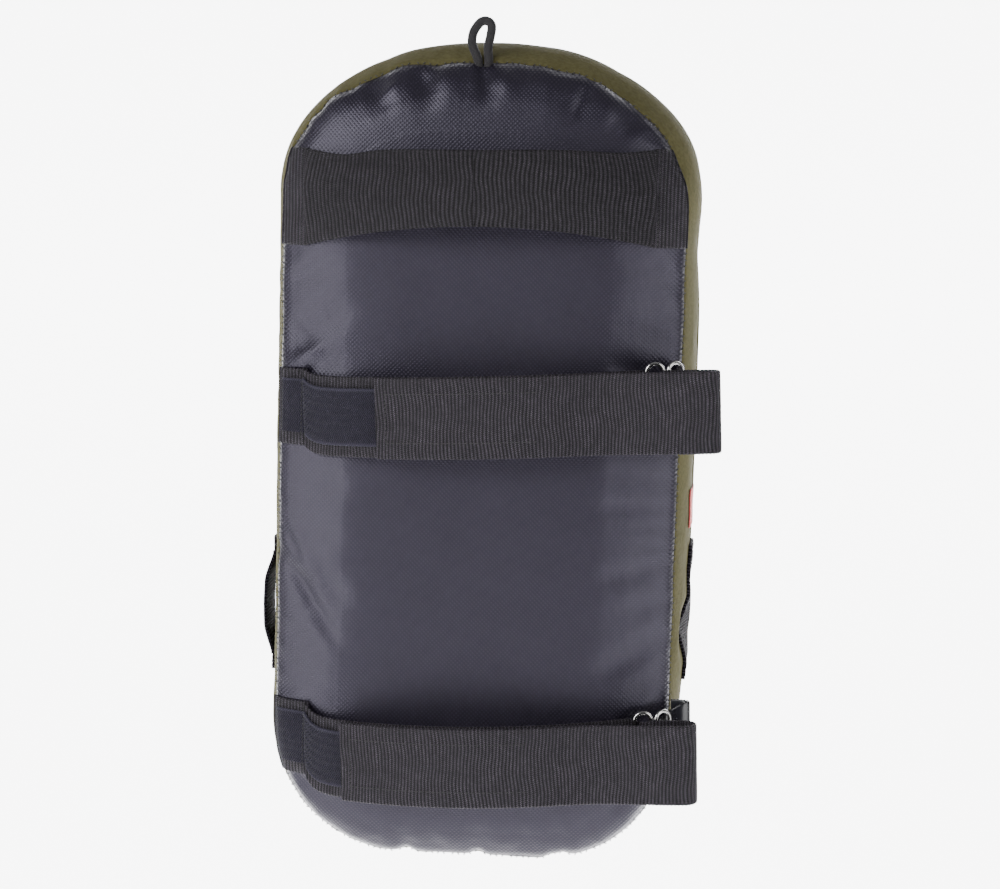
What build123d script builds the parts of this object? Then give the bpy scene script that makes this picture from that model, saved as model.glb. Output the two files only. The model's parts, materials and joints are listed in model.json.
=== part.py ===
from build123d import *
import os
from math import asin, atan2, cos, degrees, radians, sin, sqrt, tan

# Kick shield: a padded shield worn on the forearm, hung by its cord loop.
# Millimetres. +Z is up as it hangs, -Y is the arm side, +Y the strike side, +X the buckle side.
# The shield is laid out about its own centre, with the back seam in the plane y = 0,
# and every piece is then moved so that the inside of the loop's crown is the origin.

# --- Pad ---------------------------------------------------------------------------------
pad_half_width = 125.5
pad_half_height = 250.0
top_left_corner = 74.0
top_right_corner = 90.0
low_left_corner = 84.0
low_right_corner = 76.0
cover_thickness = 2.0
back_cover_thickness = 1.6

# The wall swells out past the back seam and rolls over to the strike face: (depth, swell).
wall_swell = 9.6
front_seam_depth = 66.0
front_seam_swell = 9.2
wall_layers = [(0, 0), (10, 4.6), (28, 8.4), (50, wall_swell), (front_seam_depth, front_seam_swell)]
wall_layers += [(83, 4.5), (93, -6), (97, -20)]
strike_depth = 97.0
# The back cover is crowned between its seams: (height towards the arm, inset from the seam).
crown_layers = [(0, 0), (5, -2), (11, -7), (15.5, -15), (18, -28)]
crown_height = 18.0
seam_thread_depth = 0.8
piping_stand = 1.6
piping_half_width = 1.3
shell_gap = 0.05
foam_gap = 1.0

# --- Webbing -------------------------------------------------------------------------------
webbing = 2.0
strap_width = 50.0
tape_width = 36.0
loop_tape_thickness = 1.8
hook_tape_thickness = 1.4
thread = 0.6
air = 0.35
sewn_edge = 2.0

# --- Forearm straps: each crosses the arm space and turns back at the right ------------------
arm_bow = 27.0
upper_strap = dict(name="upper", height=35.0, tilt=3.2, stitch_x=-108.0, root_lift=5.0)
upper_strap.update(flap_end_x=-57.5, fold_x=142.5, vinyl_tab=False)
lower_strap = dict(name="lower", height=-182.0, tilt=2.7, stitch_x=-103.0, root_lift=9.5)
lower_strap.update(flap_end_x=-75.0, fold_x=136.3, vinyl_tab=True)
fold_radius = 7.5
under_ring = (103.5, -20.5)
ring_dip = (107.8, -20.6)
ring_climb_x = 114.2
fold_lead = 8.0
over_y = -26.0
flap_leave_x = 62.0
hook_tape_end_x = 40.0
row_end_x = 38.0
row_inset = 3.0
ring_wire = 2.4
ring_width = 10.5
ring_height = 54.6
ring_lift = 1.5
ring_squeeze = 1.7
squeeze_x = 110.5
squeeze_length = 15.0
# The bars that the tab holds, one in each ring, and the left ring's other bar.
inner_bar = (116.6, -21.6)
outer_bar = (119.5, -20.9)
left_bar = (106.3, -23.45)
right_slope = 38.0
tab_sheet = 1.2
tab_play = 0.8
tab_neck = 1.8
tab_neck_width = 42.0
tab_neck_path = [(119.6, -17.6), (122.2, -15.8), (123.6, -12.9)]
webbing_tab_path = [(123.4, -13.5), (126.6, -7.7), (128.0, -1.6)]
# The vinyl tab stands out past the seam in a fold.
vinyl_tab_path = [(123.4, -13.5), (125.8, -11.0), (132.6, -9.8), (135.0, -6.2), (129.8, -1.6)]
webbing_tab_width = 50.0
vinyl_tab_width = 62.0

# --- Grip band -----------------------------------------------------------------------------
grip_width = 60.0
grip_mid_width = 47.0
grip_height = 167.5
grip_tilt = 1.3
grip_left = -110.0
grip_right = 106.5
grip_bow = 33.0
grip_lead = 27.0
grip_patch = 1.4

# --- Side handles ----------------------------------------------------------------------------
handle_width = 30.0
handle_depth = 46.0
handle_span = 68.0
handle_patch = 10.0
handle_lead = 16.0
handle_stand = 1.5
handle_rest = 0.6
handle_bow = 0.8
left_handle_height = -100.0
right_handle_height = -94.0
wall_scoop = 7.5
scoop_radius = 62.0
scoop_near = 24.0
scoop_far = 63.0

# --- Hanging loop ----------------------------------------------------------------------------
cord = 5.6
# The route's corners (x, z), up the left leg, over the crown and down the right leg.
loop_route = [
    (-5.6, 247.0), (-6.0, 252.6), (-10.4, 260.2), (-10.0, 267.6), (-6.7, 272.9), (-3.9, 275.3),
    (-0.2, 275.1), (2.1, 272.3), (1.2, 266.0), (-0.4, 258.6), (0.6, 252.2), (0.3, 247.0),
]
hook_point = (-2.0, 0.0, 272.3)
# The pocket in the seam that the loop's ends go into: its middle x, then its width, depth and reach.
loop_pocket_x = -2.6
loop_pocket = (17.0, 13.0, 6.0)

# --- Label -----------------------------------------------------------------------------------
label_low = -38.0
label_high = -13.0
label_near = 26.0
label_far = 52.0
label_under = 0.15
label_over = 0.9


def at_origin(piece):
    """Moves a piece from the shield's own centre to the stored origin, the loop's crown."""
    x, y, z = hook_point
    return Pos(-x, -y, -z) * piece


def save(name, piece):
    """Writes one piece to its own file."""
    export_step(at_origin(piece), f"parts/{name}.step")


# --- Pad: outline, layers and shells ---------------------------------------------------------
def quarter(middle_x, middle_z, radius, first):
    """A quarter circle, anticlockwise from the angle first."""
    return CenterArc((middle_x, middle_z), radius, first, 90)


def outline(swell):
    """The pad's outline, swollen outwards: straight sides and four round corners."""
    x = pad_half_width + swell
    z = pad_half_height + swell
    top_left = top_left_corner + swell
    top_right = top_right_corner + swell
    low_left = low_left_corner + swell
    low_right = low_right_corner + swell
    edges = [
        Line((-x + low_left, -z), (x - low_right, -z)),
        quarter(x - low_right, -z + low_right, low_right, 270),
        Line((x, -z + low_right), (x, z - top_right)),
        quarter(x - top_right, z - top_right, top_right, 0),
        Line((x - top_right, z), (-x + top_left, z)),
        quarter(-x + top_left, z - top_left, top_left, 90),
        Line((-x, z - top_left), (-x, -z + low_left)),
        quarter(-x + low_left, -z + low_left, low_left, 180),
    ]
    return make_face(edges)


def block(layers):
    """A solid through the outline at each layer: layers are (y, swell)."""
    sections = [Pos(0, 0, -y) * outline(swell) for y, swell in layers]
    return Rot(90, 0, 0) * loft(sections, ruled=True)


def wall_block(inset):
    """The solid inside the wall and strike cover, drawn in by inset all round."""
    layers = [(y, swell - inset) for y, swell in wall_layers[:-1]]
    return block(layers + [(strike_depth - inset, wall_layers[-1][1] - inset)])


def crown_block(inset):
    """The solid under the back cover, drawn in by inset."""
    share = 1 - inset / crown_height
    return block([(-height * share, swell - inset) for height, swell in crown_layers])


def crown_sheet(near, far, low_x, high_x, width, middle_z):
    """A flat piece that lies on the crown, from near to far above it, inside a window of x and z."""
    window = Box(high_x - low_x, 30, width)
    window = Pos((low_x + high_x) / 2, -15 - sewn_edge, middle_z) * window
    return (crown_block(-far) - crown_block(-near)) & window


def crown_y(x, lift):
    """How far towards the arm the crown stands at x, with lift added."""
    share = 1 + lift / crown_height
    for (low, low_inset), (high, high_inset) in zip(crown_layers, crown_layers[1:]):
        low_x = pad_half_width + low_inset + lift
        high_x = pad_half_width + high_inset + lift
        if abs(x) >= high_x:
            return -share * (low + (high - low) * (low_x - abs(x)) / (low_x - high_x))
    return -share * crown_height


def slab(near, far):
    """All the space between two depths."""
    return Pos(0, (near + far) / 2, 0) * Box(400, far - near, 700)


def handle_scoops(extra):
    """The hollows in the two side walls, under the side handles."""
    reach = pad_half_width + wall_swell - wall_scoop - extra + scoop_radius
    scoops = []
    for side, height in ((-1, left_handle_height), (1, right_handle_height)):
        roller = Rot(90, 0, 0) * Cylinder(scoop_radius, scoop_far - scoop_near)
        scoops.append(Pos(side * reach, (scoop_near + scoop_far) / 2, height) * roller)
    return scoops


def build_pad():
    wall = wall_block(0) - handle_scoops(0)
    foam_space = wall_block(cover_thickness) - handle_scoops(cover_thickness)
    shell = wall - foam_space
    pocket_width, pocket_depth, pocket_reach = loop_pocket
    pocket = Pos(loop_pocket_x, 0, pad_half_height) * Box(pocket_width, pocket_depth, 2 * pocket_reach)
    save("side_gusset", (shell & slab(shell_gap, front_seam_depth)) - pocket)
    save("front_cover", shell & slab(front_seam_depth + shell_gap, 2 * strike_depth))
    save("strike_foam", foam_space & slab(front_seam_depth + foam_gap, 2 * strike_depth))
    save("core_foam", (foam_space & slab(foam_gap, front_seam_depth)) - pocket)

    crown_space = crown_block(back_cover_thickness)
    back_cover = (crown_block(0) - crown_space) & slab(-2 * crown_height, -shell_gap)
    save("back_cover", back_cover - pocket)
    save("comfort_foam", (crown_space & slab(-2 * crown_height, 0)) - pocket)

    seam = Rot(90, 0, 0) * extrude(outline(thread + 0.3) - outline(0.1), seam_thread_depth)
    save("back_seam_thread", Pos(0, -0.1, 0) * seam - pocket)
    piping_ring = outline(front_seam_swell + piping_stand) - outline(front_seam_swell + shell_gap)
    piping = Rot(90, 0, 0) * extrude(piping_ring, piping_half_width, both=True)
    save("front_seam_piping", Pos(0, front_seam_depth, 0) * piping)


# --- Webbing helpers -------------------------------------------------------------------------
def strip(path, thickness, width):
    """Webbing that follows a path in the XY plane, centred on z = 0."""
    return extrude(trace(path, thickness), width / 2, both=True)


def bow(start, end, rise):
    """The circle through two points that bows towards the arm by rise: (centre x, centre y, radius)."""
    chord = Vector(*end) - Vector(*start)
    radius = ((chord.length / 2) ** 2 + rise**2) / (2 * rise)
    middle = (Vector(*start) + Vector(*end)) / 2
    outward = Vector(chord.Y, -chord.X) / chord.length
    centre = middle - outward * (radius - rise)
    return centre.X, centre.Y, radius


def bow_point(circle, x, lift=0.0):
    """The point of the bow that is at x, lifted along the bow's radius."""
    centre_x, centre_y, radius = circle
    turn = asin((x - centre_x) / radius)
    reach = radius + lift
    return centre_x + reach * sin(turn), centre_y - reach * cos(turn)


def bow_arc(circle, first_x, last_x, lift=0.0):
    """The stretch of the bow from first_x to last_x."""
    middle_x = (first_x + last_x) / 2
    return ThreePointArc(
        bow_point(circle, first_x, lift), bow_point(circle, middle_x, lift), bow_point(circle, last_x, lift)
    )


# --- Forearm straps ----------------------------------------------------------------------------
def build_strap(strap):
    name = strap["name"]
    place = Pos(0, 0, strap["height"]) * Rot(0, -strap["tilt"], 0)
    stitch_x = strap["stitch_x"]
    flap_end_x = strap["flap_end_x"]
    fold_x = strap["fold_x"]
    half_webbing = webbing / 2
    lift = half_webbing + air

    def keep(node, piece, fixed=None):
        """Writes a piece laid out on the strap, with any fixed part that is already in the shield's place."""
        placed = place * piece
        save(f"{name}_{node}", placed + fixed if fixed else placed)

    # The under-layer: sewn along the panel's edge, bowed over the arm space, down under the outer
    # ring's bar and up through the ring.
    start = (stitch_x, crown_y(stitch_x, lift))
    circle = bow(start, under_ring, arm_bow)
    root_z = strap["root_lift"]
    root_height = strap["height"] + stitch_x * sin(radians(strap["tilt"])) + root_z
    root_end_x = stitch_x + thread
    sewn_root = crown_sheet(air, air + webbing, -pad_half_width - 5, root_end_x, strap_width - 3, root_height)
    crossing = strip(bow_arc(circle, start[0], under_ring[0]), webbing, strap_width)
    over_bar = [under_ring, ring_dip, (ring_climb_x, over_y)]
    over_bar += [(fold_x - fold_lead, over_y - 0.1), (fold_x - 0.5, over_y)]
    through_ring = strip(FilletPolyline(*over_bar, radius=2.5), webbing, strap_width)
    notch_middle = Pos(squeeze_x, under_ring[1], 0)
    for end in (-1, 1):
        edge = Box(squeeze_length, squeeze_length, 2 * ring_squeeze)
        through_ring -= notch_middle * Pos(0, 0, end * strap_width / 2) * edge
    keep("strap_root", crossing + through_ring, sewn_root)

    # Loop tape on the under-layer's outer face.
    tape_lift = half_webbing + loop_tape_thickness / 2
    tape_arc = bow_arc(circle, stitch_x + 3, flap_leave_x, tape_lift)
    loop_tape = strip(tape_arc, loop_tape_thickness, tape_width)
    keep("loop_tape", loop_tape)

    # The flap lies on the tape, and leaves it near the right edge for the open fold.
    hook_lift = tape_lift + loop_tape_thickness / 2 + hook_tape_thickness / 2 + air
    flap_lift = hook_lift + hook_tape_thickness / 2 + half_webbing
    fold_near = (fold_x, over_y)
    fold_far = (fold_x, over_y - 2 * fold_radius)
    leave = bow_point(circle, flap_leave_x, flap_lift)
    flap_path = [
        bow_arc(circle, flap_end_x, flap_leave_x, flap_lift),
        FilletPolyline(leave, (flap_leave_x + 26, leave[1] + 4.6), (fold_x - 0.6, fold_far[1]), radius=40),
    ]
    keep("strap_flap", strip(flap_path, webbing, strap_width))
    hook_arc = bow_arc(circle, flap_end_x + 4, hook_tape_end_x, hook_lift)
    hook_tape = strip(hook_arc, hook_tape_thickness, tape_width)
    keep("hook_tape", hook_tape)
    fold_middle = (fold_x + fold_radius, (fold_near[1] + fold_far[1]) / 2)
    keep("strap_fold", strip(ThreePointArc(fold_near, fold_middle, fold_far), webbing, strap_width))

    # Thread: two rows and an end row on the flap, and one row across the sewn root.
    row_lift = flap_lift + half_webbing + thread / 2
    rows = []
    for end in (-1, 1):
        row = strip(bow_arc(circle, flap_end_x + 4, row_end_x, row_lift), thread, thread)
        rows.append(Pos(0, 0, end * (tape_width / 2 - row_inset)) * row)
    end_row = strip(bow_arc(circle, flap_end_x + 2.4, flap_end_x + 3.2, row_lift), thread, strap_width - 6)
    keep("flap_thread", Compound(children=rows + [end_row]))
    root_row = Box(thread, thread, strap_width - 8)
    row_y = crown_y(stitch_x - 2, air + webbing + thread)
    root_row = Pos(stitch_x - 2, row_y, root_z) * root_row
    keep("root_thread", root_row)

    # Two oval rings on the tab's fold: one lies left over the under-layer, one right over the edge.
    slope = radians(right_slope)
    right_bar = (outer_bar[0] + ring_width * cos(slope), outer_bar[1] + ring_width * sin(slope))
    keep("ring_left", ring(inner_bar, left_bar))
    keep("ring_right", ring(outer_bar, right_bar))
    keep("ring_tab", tab(strap["vinyl_tab"]))


def tab(vinyl):
    """A tab: an eye round both bars, a neck, and a base that runs down the panel's edge to the seam."""
    bars_middle = ((inner_bar[0] + outer_bar[0]) / 2, (inner_bar[1] + outer_bar[1]) / 2)
    lean = degrees(atan2(outer_bar[1] - inner_bar[1], outer_bar[0] - inner_bar[0]))
    bars_apart = outer_bar[0] - inner_bar[0]
    eye_bore = ring_wire + tab_play
    eye = SlotCenterToCenter(bars_apart, eye_bore + 2 * tab_sheet) - SlotCenterToCenter(bars_apart, eye_bore)
    eye = Pos(*bars_middle, 0) * (Rot(0, 0, lean) * extrude(eye, tab_neck_width / 2, both=True))
    neck = strip(Polyline(*tab_neck_path), tab_neck, tab_neck_width)
    base_width = vinyl_tab_width if vinyl else webbing_tab_width
    base_path = vinyl_tab_path if vinyl else webbing_tab_path
    base = strip(Polyline(*base_path), webbing, base_width)
    return Pos(0, 0, ring_lift) * (eye + neck + base)


def ring(bar, far_bar):
    """An oval wire ring that hangs on bar, with its other long side on far_bar."""
    lean = degrees(atan2(far_bar[1] - bar[1], far_bar[0] - bar[0]))
    length = sqrt((far_bar[0] - bar[0]) ** 2 + (far_bar[1] - bar[1]) ** 2)
    end_radius = length / 2
    straight = ring_height / 2 - end_radius
    path = Wire(
        [
            Line((-end_radius, -straight), (-end_radius, straight)),
            CenterArc((0, straight), end_radius, 180, -180),
            Line((end_radius, straight), (end_radius, -straight)),
            CenterArc((0, -straight), end_radius, 0, -180),
        ]
    )
    path = Rot(90, 0, 0) * path
    body = sweep(Plane(origin=path @ 0, z_dir=path % 0) * Circle(ring_wire / 2), path=path)
    place = Pos((bar[0] + far_bar[0]) / 2, (bar[1] + far_bar[1]) / 2, ring_lift)
    return place * (Rot(0, 0, lean) * body)


# --- Grip band -----------------------------------------------------------------------------------
def build_grip():
    place = Pos(0, 0, grip_height) * Rot(0, -grip_tilt, 0)
    lift = webbing / 2 + air
    start = (grip_left, crown_y(grip_left, lift))
    end = (grip_right, crown_y(grip_right, lift))
    circle = bow(start, end, grip_bow)
    # The band's upper edge is straight and its lower edge is drawn up in the middle, round the hand.
    half = grip_width / 2
    rise = grip_width - grip_mid_width
    middle_x = (grip_left + grip_right) / 2
    lower_edge = ThreePointArc((grip_left, -half), (middle_x, -half + rise), (grip_right, -half))
    border = Polyline((grip_right, -half), (grip_right, half), (grip_left, half), (grip_left, -half))
    window = Rot(90, 0, 0) * extrude(make_face([lower_edge, border]), 100, both=True)

    def band(first_x, last_x):
        return place * (strip(bow_arc(circle, first_x, last_x), webbing, grip_width) & window)

    save("grip_band", band(grip_left + grip_lead, grip_right - grip_lead))
    save("grip_lead_left", band(grip_left + 0.9, grip_left + grip_lead - 0.05))
    save("grip_lead_right", band(grip_right - grip_lead + 0.05, grip_right - 0.9))

    # Flat end patches from the stitch lines out to the side seams, and the stitch lines themselves.
    threads = []
    for node, side, inner_x in (("left", -1, grip_left), ("right", 1, grip_right)):
        low_x, high_x = sorted((inner_x, side * (pad_half_width + 5)))
        patch_height = grip_height + inner_x * sin(radians(grip_tilt))
        patch = crown_sheet(air, air + grip_patch, low_x, high_x, grip_width, patch_height)
        save(f"grip_patch_{node}", patch)
        row_x = inner_x + side * 2
        row = Box(thread, thread, grip_width - 2)
        threads.append(place * (Pos(row_x, crown_y(row_x, air + grip_patch + thread), 0) * row))
    save("grip_thread", Compound(children=threads))


# --- Side handles ----------------------------------------------------------------------------------
def build_handles():
    wall_x = pad_half_width + wall_swell
    half_webbing = webbing / 2
    for node, side, height in (("left", -1, left_handle_height), ("right", 1, right_handle_height)):
        half_span = handle_span / 2
        flat_x = wall_x + half_webbing + handle_rest
        stand_x = wall_x + half_webbing + handle_stand
        place = Pos(0, handle_depth, height) * Rot(90, 0, 0)
        mirrored = Rot(0, 0, 0) if side > 0 else Rot(0, 0, 180)
        lead_z = half_span - handle_lead
        patches = []
        leads = []
        for end in (-1, 1):
            patch_path = Line((flat_x, end * half_span), (flat_x, end * (half_span + handle_patch)))
            patches.append(strip(patch_path, webbing, handle_width))
            lead_path = Line((flat_x, end * (half_span - 0.3)), (stand_x, end * (lead_z + 0.3)))
            leads.append(strip(lead_path, webbing, handle_width))
        bowed = ThreePointArc((stand_x, -lead_z), (stand_x + handle_bow, 0), (stand_x, lead_z))
        middle = strip(bowed, webbing, handle_width)
        save(f"{node}_handle", place * (mirrored * middle))
        save(f"{node}_handle_leads", place * (mirrored * Compound(children=leads)))
        save(f"{node}_handle_patches", place * (mirrored * Compound(children=patches)))


# --- Hanging loop ----------------------------------------------------------------------------------
def build_loop():
    corners = [Vector(x, 0, z) for x, z in loop_route]
    radii = []
    for before, corner, after in zip(corners, corners[1:], corners[2:]):
        turn = (corner - before).get_angle(after - corner)
        shorter = min((corner - before).length, (after - corner).length)
        radii.append(0.45 * shorter / tan(radians(turn) / 2))
    print("hanging loop radii", [round(r, 1) for r in radii])
    path = FilletPolyline(*corners, radius=radii)
    tube = sweep(Plane(origin=path @ 0, z_dir=path % 0) * Circle(cord / 2), path=path)
    section = tube.volume / (path.length * (cord / 2) ** 2)
    print("loop length", round(path.length, 1), "section", round(section, 4))
    save("hanging_loop", tube)


def build_label():
    sheet = wall_block(-label_over) - wall_block(-label_under)
    window = Pos(pad_half_width, (label_near + label_far) / 2, (label_low + label_high) / 2)
    window *= Box(60, label_far - label_near, label_high - label_low)
    save("side_label", sheet & window)


os.makedirs("parts", exist_ok=True)
build_pad()
build_strap(upper_strap)
build_strap(lower_strap)
build_grip()
build_handles()
build_loop()
build_label()
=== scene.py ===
import json
import math

import bmesh
import bpy
import numpy as np
from mathutils import Matrix, Vector
from mathutils.bvhtree import BVHTree
from mathutils.kdtree import KDTree


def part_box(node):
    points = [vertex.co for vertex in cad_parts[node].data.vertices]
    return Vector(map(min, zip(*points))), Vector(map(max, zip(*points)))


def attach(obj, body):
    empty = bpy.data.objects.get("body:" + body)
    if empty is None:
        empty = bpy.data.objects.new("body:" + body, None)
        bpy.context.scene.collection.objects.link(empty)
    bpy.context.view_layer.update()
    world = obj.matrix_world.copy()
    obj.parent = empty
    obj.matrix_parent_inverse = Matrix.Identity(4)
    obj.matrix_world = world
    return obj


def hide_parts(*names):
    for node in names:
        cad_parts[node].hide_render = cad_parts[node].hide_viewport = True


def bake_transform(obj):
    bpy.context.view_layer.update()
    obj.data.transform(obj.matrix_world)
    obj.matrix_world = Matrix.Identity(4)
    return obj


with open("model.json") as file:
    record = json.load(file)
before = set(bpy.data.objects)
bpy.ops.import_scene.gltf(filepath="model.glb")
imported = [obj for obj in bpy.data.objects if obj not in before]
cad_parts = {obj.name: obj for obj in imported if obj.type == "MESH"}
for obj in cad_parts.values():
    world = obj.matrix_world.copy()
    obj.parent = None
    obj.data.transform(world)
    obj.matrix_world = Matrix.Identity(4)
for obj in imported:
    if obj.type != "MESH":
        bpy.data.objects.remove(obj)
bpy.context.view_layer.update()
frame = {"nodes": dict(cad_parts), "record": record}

# Lengths are millimetres on the pad, measured from the middle of its back seam, with -Y towards
# the arm side. to_row turns them into the row frame's metres.
MM = 0.001
MOUNTS = {mount["name"]: mount for mount in frame["record"]["mounts"]}
STRIKE = Vector(MOUNTS["strike_face"]["pos_m"])
PAD_CENTRE = np.array([STRIKE.x, 0.0, STRIKE.z])
STRIKE_DEPTH = STRIKE.y / MM


def to_row(points):
    """Points on the pad, in millimetres, as points of the row frame, in metres."""
    return np.asarray(points, float) * MM + PAD_CENTRE


# --- Camera --------------------------------------------------------------------------------------
CAMERA_AZIMUTH = math.radians(5.3)
CAMERA_ELEVATION = math.radians(7.1)
CAMERA_ROLL = math.radians(1.6)
CAMERA_DISTANCE = 1400.0
CAMERA_TARGET = (14.0, 0.0, 13.8)
# The focal length over half the picture's width.
CAMERA_LENS = 4.464


def make_camera():
    camera = bpy.data.objects.new("camera", bpy.data.cameras.new("camera"))
    bpy.context.scene.collection.objects.link(camera)
    camera.data.angle = 2 * math.atan(1 / CAMERA_LENS)
    camera.data.clip_start = 0.05
    camera.data.clip_end = 20
    level = math.cos(CAMERA_ELEVATION)
    towards = Vector(
        (math.sin(CAMERA_AZIMUTH) * level, -math.cos(CAMERA_AZIMUTH) * level, math.sin(CAMERA_ELEVATION))
    )
    camera.location = Vector(to_row(CAMERA_TARGET)) + towards * CAMERA_DISTANCE * MM
    aim = towards.to_track_quat("Z", "Y").to_matrix().to_4x4()
    camera.rotation_euler = (aim @ Matrix.Rotation(CAMERA_ROLL, 4, "Z")).to_euler()
    bpy.context.scene.camera = camera


# --- Materials -----------------------------------------------------------------------------------
def ink(red, green, blue):
    """A colour given from 0 to 255, as the shader's linear values."""
    shares = [value / 255 for value in (red, green, blue)]
    return tuple(s / 12.92 if s <= 0.04045 else ((s + 0.055) / 1.055) ** 2.4 for s in shares) + (1.0,)


class Finish:
    """A material round one Principled shader, with short calls for its detail."""

    def __init__(self, name, **sockets):
        self.material = bpy.data.materials.new(name)
        self.material.use_nodes = True
        self.nodes = self.material.node_tree.nodes
        self.links = self.material.node_tree.links
        self.shader = self.nodes["Principled BSDF"]
        for socket, value in sockets.items():
            self.shader.inputs[socket.replace("_", " ")].default_value = value

    def node(self, kind, inputs, output=0, **settings):
        """Adds a node, feeds its inputs and returns one output."""
        made = self.nodes.new(kind)
        for setting, value in settings.items():
            setattr(made, setting, value)
        for socket, value in inputs.items():
            self.feed(made.inputs[socket], value)
        return made.outputs[output]

    def feed(self, socket, value):
        if isinstance(value, bpy.types.NodeSocket):
            self.links.new(value, socket)
        else:
            socket.default_value = value

    def place(self):
        """Object coordinates, in millimetres."""
        made = self.nodes.new("ShaderNodeTexCoord").outputs["Object"]
        return self.node("ShaderNodeVectorMath", {0: made, 3: 1 / MM}, operation="SCALE")

    def lie(self):
        """Where a point lies on its webbing: millimetres along it and across it."""
        return self.node("ShaderNodeAttribute", {}, output="Vector", attribute_name="lie")

    def axis(self, vector, axis):
        return self.node("ShaderNodeSeparateXYZ", {0: vector}, output=axis)

    def calc(self, operation, *values):
        return self.node("ShaderNodeMath", dict(enumerate(values)), operation=operation)

    def wave(self, value, pitch, phase=0.0):
        """From 0 to 1 and back, once every pitch."""
        turn = self.calc("MULTIPLY_ADD", value, 2 * math.pi / pitch, phase)
        return self.calc("MULTIPLY_ADD", self.calc("SINE", turn), 0.5, 0.5)

    def noise(self, vector, size, detail=2.0):
        inputs = {"Vector": vector, "Scale": 1 / size, "Detail": detail}
        return self.node("ShaderNodeTexNoise", inputs)

    def stretch(self, vector, scale):
        return self.node("ShaderNodeVectorMath", {0: vector, 1: scale}, operation="MULTIPLY")

    def span(self, value, low, high, new_low=0.0, new_high=1.0):
        """Maps low..high to new_low..new_high, held at the ends."""
        return self.node("ShaderNodeMapRange", {0: value, 1: low, 2: high, 3: new_low, 4: new_high})

    def mix(self, share, low, high):
        return self.node(
            "ShaderNodeMix", {0: share, 6: low, 7: high}, output=2, data_type="RGBA", clamp_factor=True
        )

    def colour(self, value):
        self.feed(self.shader.inputs["Base Color"], value)

    def roughness(self, value, smooth, rough, low=0.3, high=0.7):
        """Roughness from smooth, where value is low, to rough, where it is high."""
        self.feed(self.shader.inputs["Roughness"], self.span(value, low, high, smooth, rough))

    def relief(self, height, depth):
        """Bumps the surface: height is 0 to 1 and depth its size in millimetres."""
        inputs = {"Height": height, "Distance": depth * MM, "Strength": 1.0}
        self.feed(self.shader.inputs["Normal"], self.node("ShaderNodeBump", inputs))


EMBOSS_PITCH = 2.7
EMBOSS_DEPTH = 0.22
VINYL_GLOSS = 0.34
RIB_PITCH = 2.2
GRIP_RIB_PITCH = 2.7
BEAD_PITCH = 1.25
BEAD_SHIFT = 0.6


def black_vinyl():
    """Satin black vinyl pressed with fine diamonds."""
    finish = Finish("black_vinyl_emboss", Specular_IOR_Level=0.62, Coat_Weight=0.08, Coat_Roughness=0.28)
    finish.shader.inputs["Specular Tint"].default_value = ink(236, 230, 255)
    place = finish.place()
    x, z = finish.axis(place, "X"), finish.axis(place, "Z")
    rise = finish.wave(finish.calc("ADD", x, z), EMBOSS_PITCH)
    fall = finish.wave(finish.calc("SUBTRACT", x, z), EMBOSS_PITCH)
    diamonds = finish.calc("MULTIPLY", rise, fall)
    cloud = finish.noise(place, 26, 3)
    grain = finish.noise(place, 0.5, 2)
    tone = finish.mix(cloud, ink(15, 12, 20), ink(24, 20, 31))
    finish.colour(finish.mix(diamonds, tone, ink(40, 36, 48)))
    patchy = finish.calc("ADD", cloud, diamonds)
    finish.roughness(patchy, VINYL_GLOSS, VINYL_GLOSS + 0.14, 0.4, 1.5)
    finish.relief(finish.calc("MULTIPLY_ADD", grain, 0.25, diamonds), EMBOSS_DEPTH)
    return finish.material


def gloss_vinyl():
    """Smooth shiny vinyl."""
    finish = Finish("gloss_vinyl_smooth", Coat_Weight=0.5, Coat_Roughness=0.12)
    place = finish.place()
    cloud = finish.noise(place, 9, 4)
    finish.colour(finish.mix(cloud, ink(22, 22, 26), ink(34, 34, 42)))
    finish.roughness(cloud, 0.22, 0.36)
    finish.relief(finish.noise(place, 1.6, 3), 0.1)
    return finish.material


def olive_vinyl():
    """Matte olive synthetic leather with a fine grain."""
    finish = Finish("olive_vinyl_grain", Specular_IOR_Level=0.06)
    place = finish.place()
    cloud = finish.noise(place, 34, 4)
    grain = finish.noise(place, 0.9, 3)
    speck = finish.span(finish.noise(place, 2.2, 2), 0.35, 0.7)
    tone = finish.mix(cloud, ink(83, 80, 53), ink(103, 99, 68))
    finish.colour(finish.mix(finish.calc("MULTIPLY", speck, 0.35), tone, ink(56, 49, 28)))
    finish.roughness(cloud, 0.74, 0.86)
    finish.relief(grain, 0.22)
    return finish.material


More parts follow.
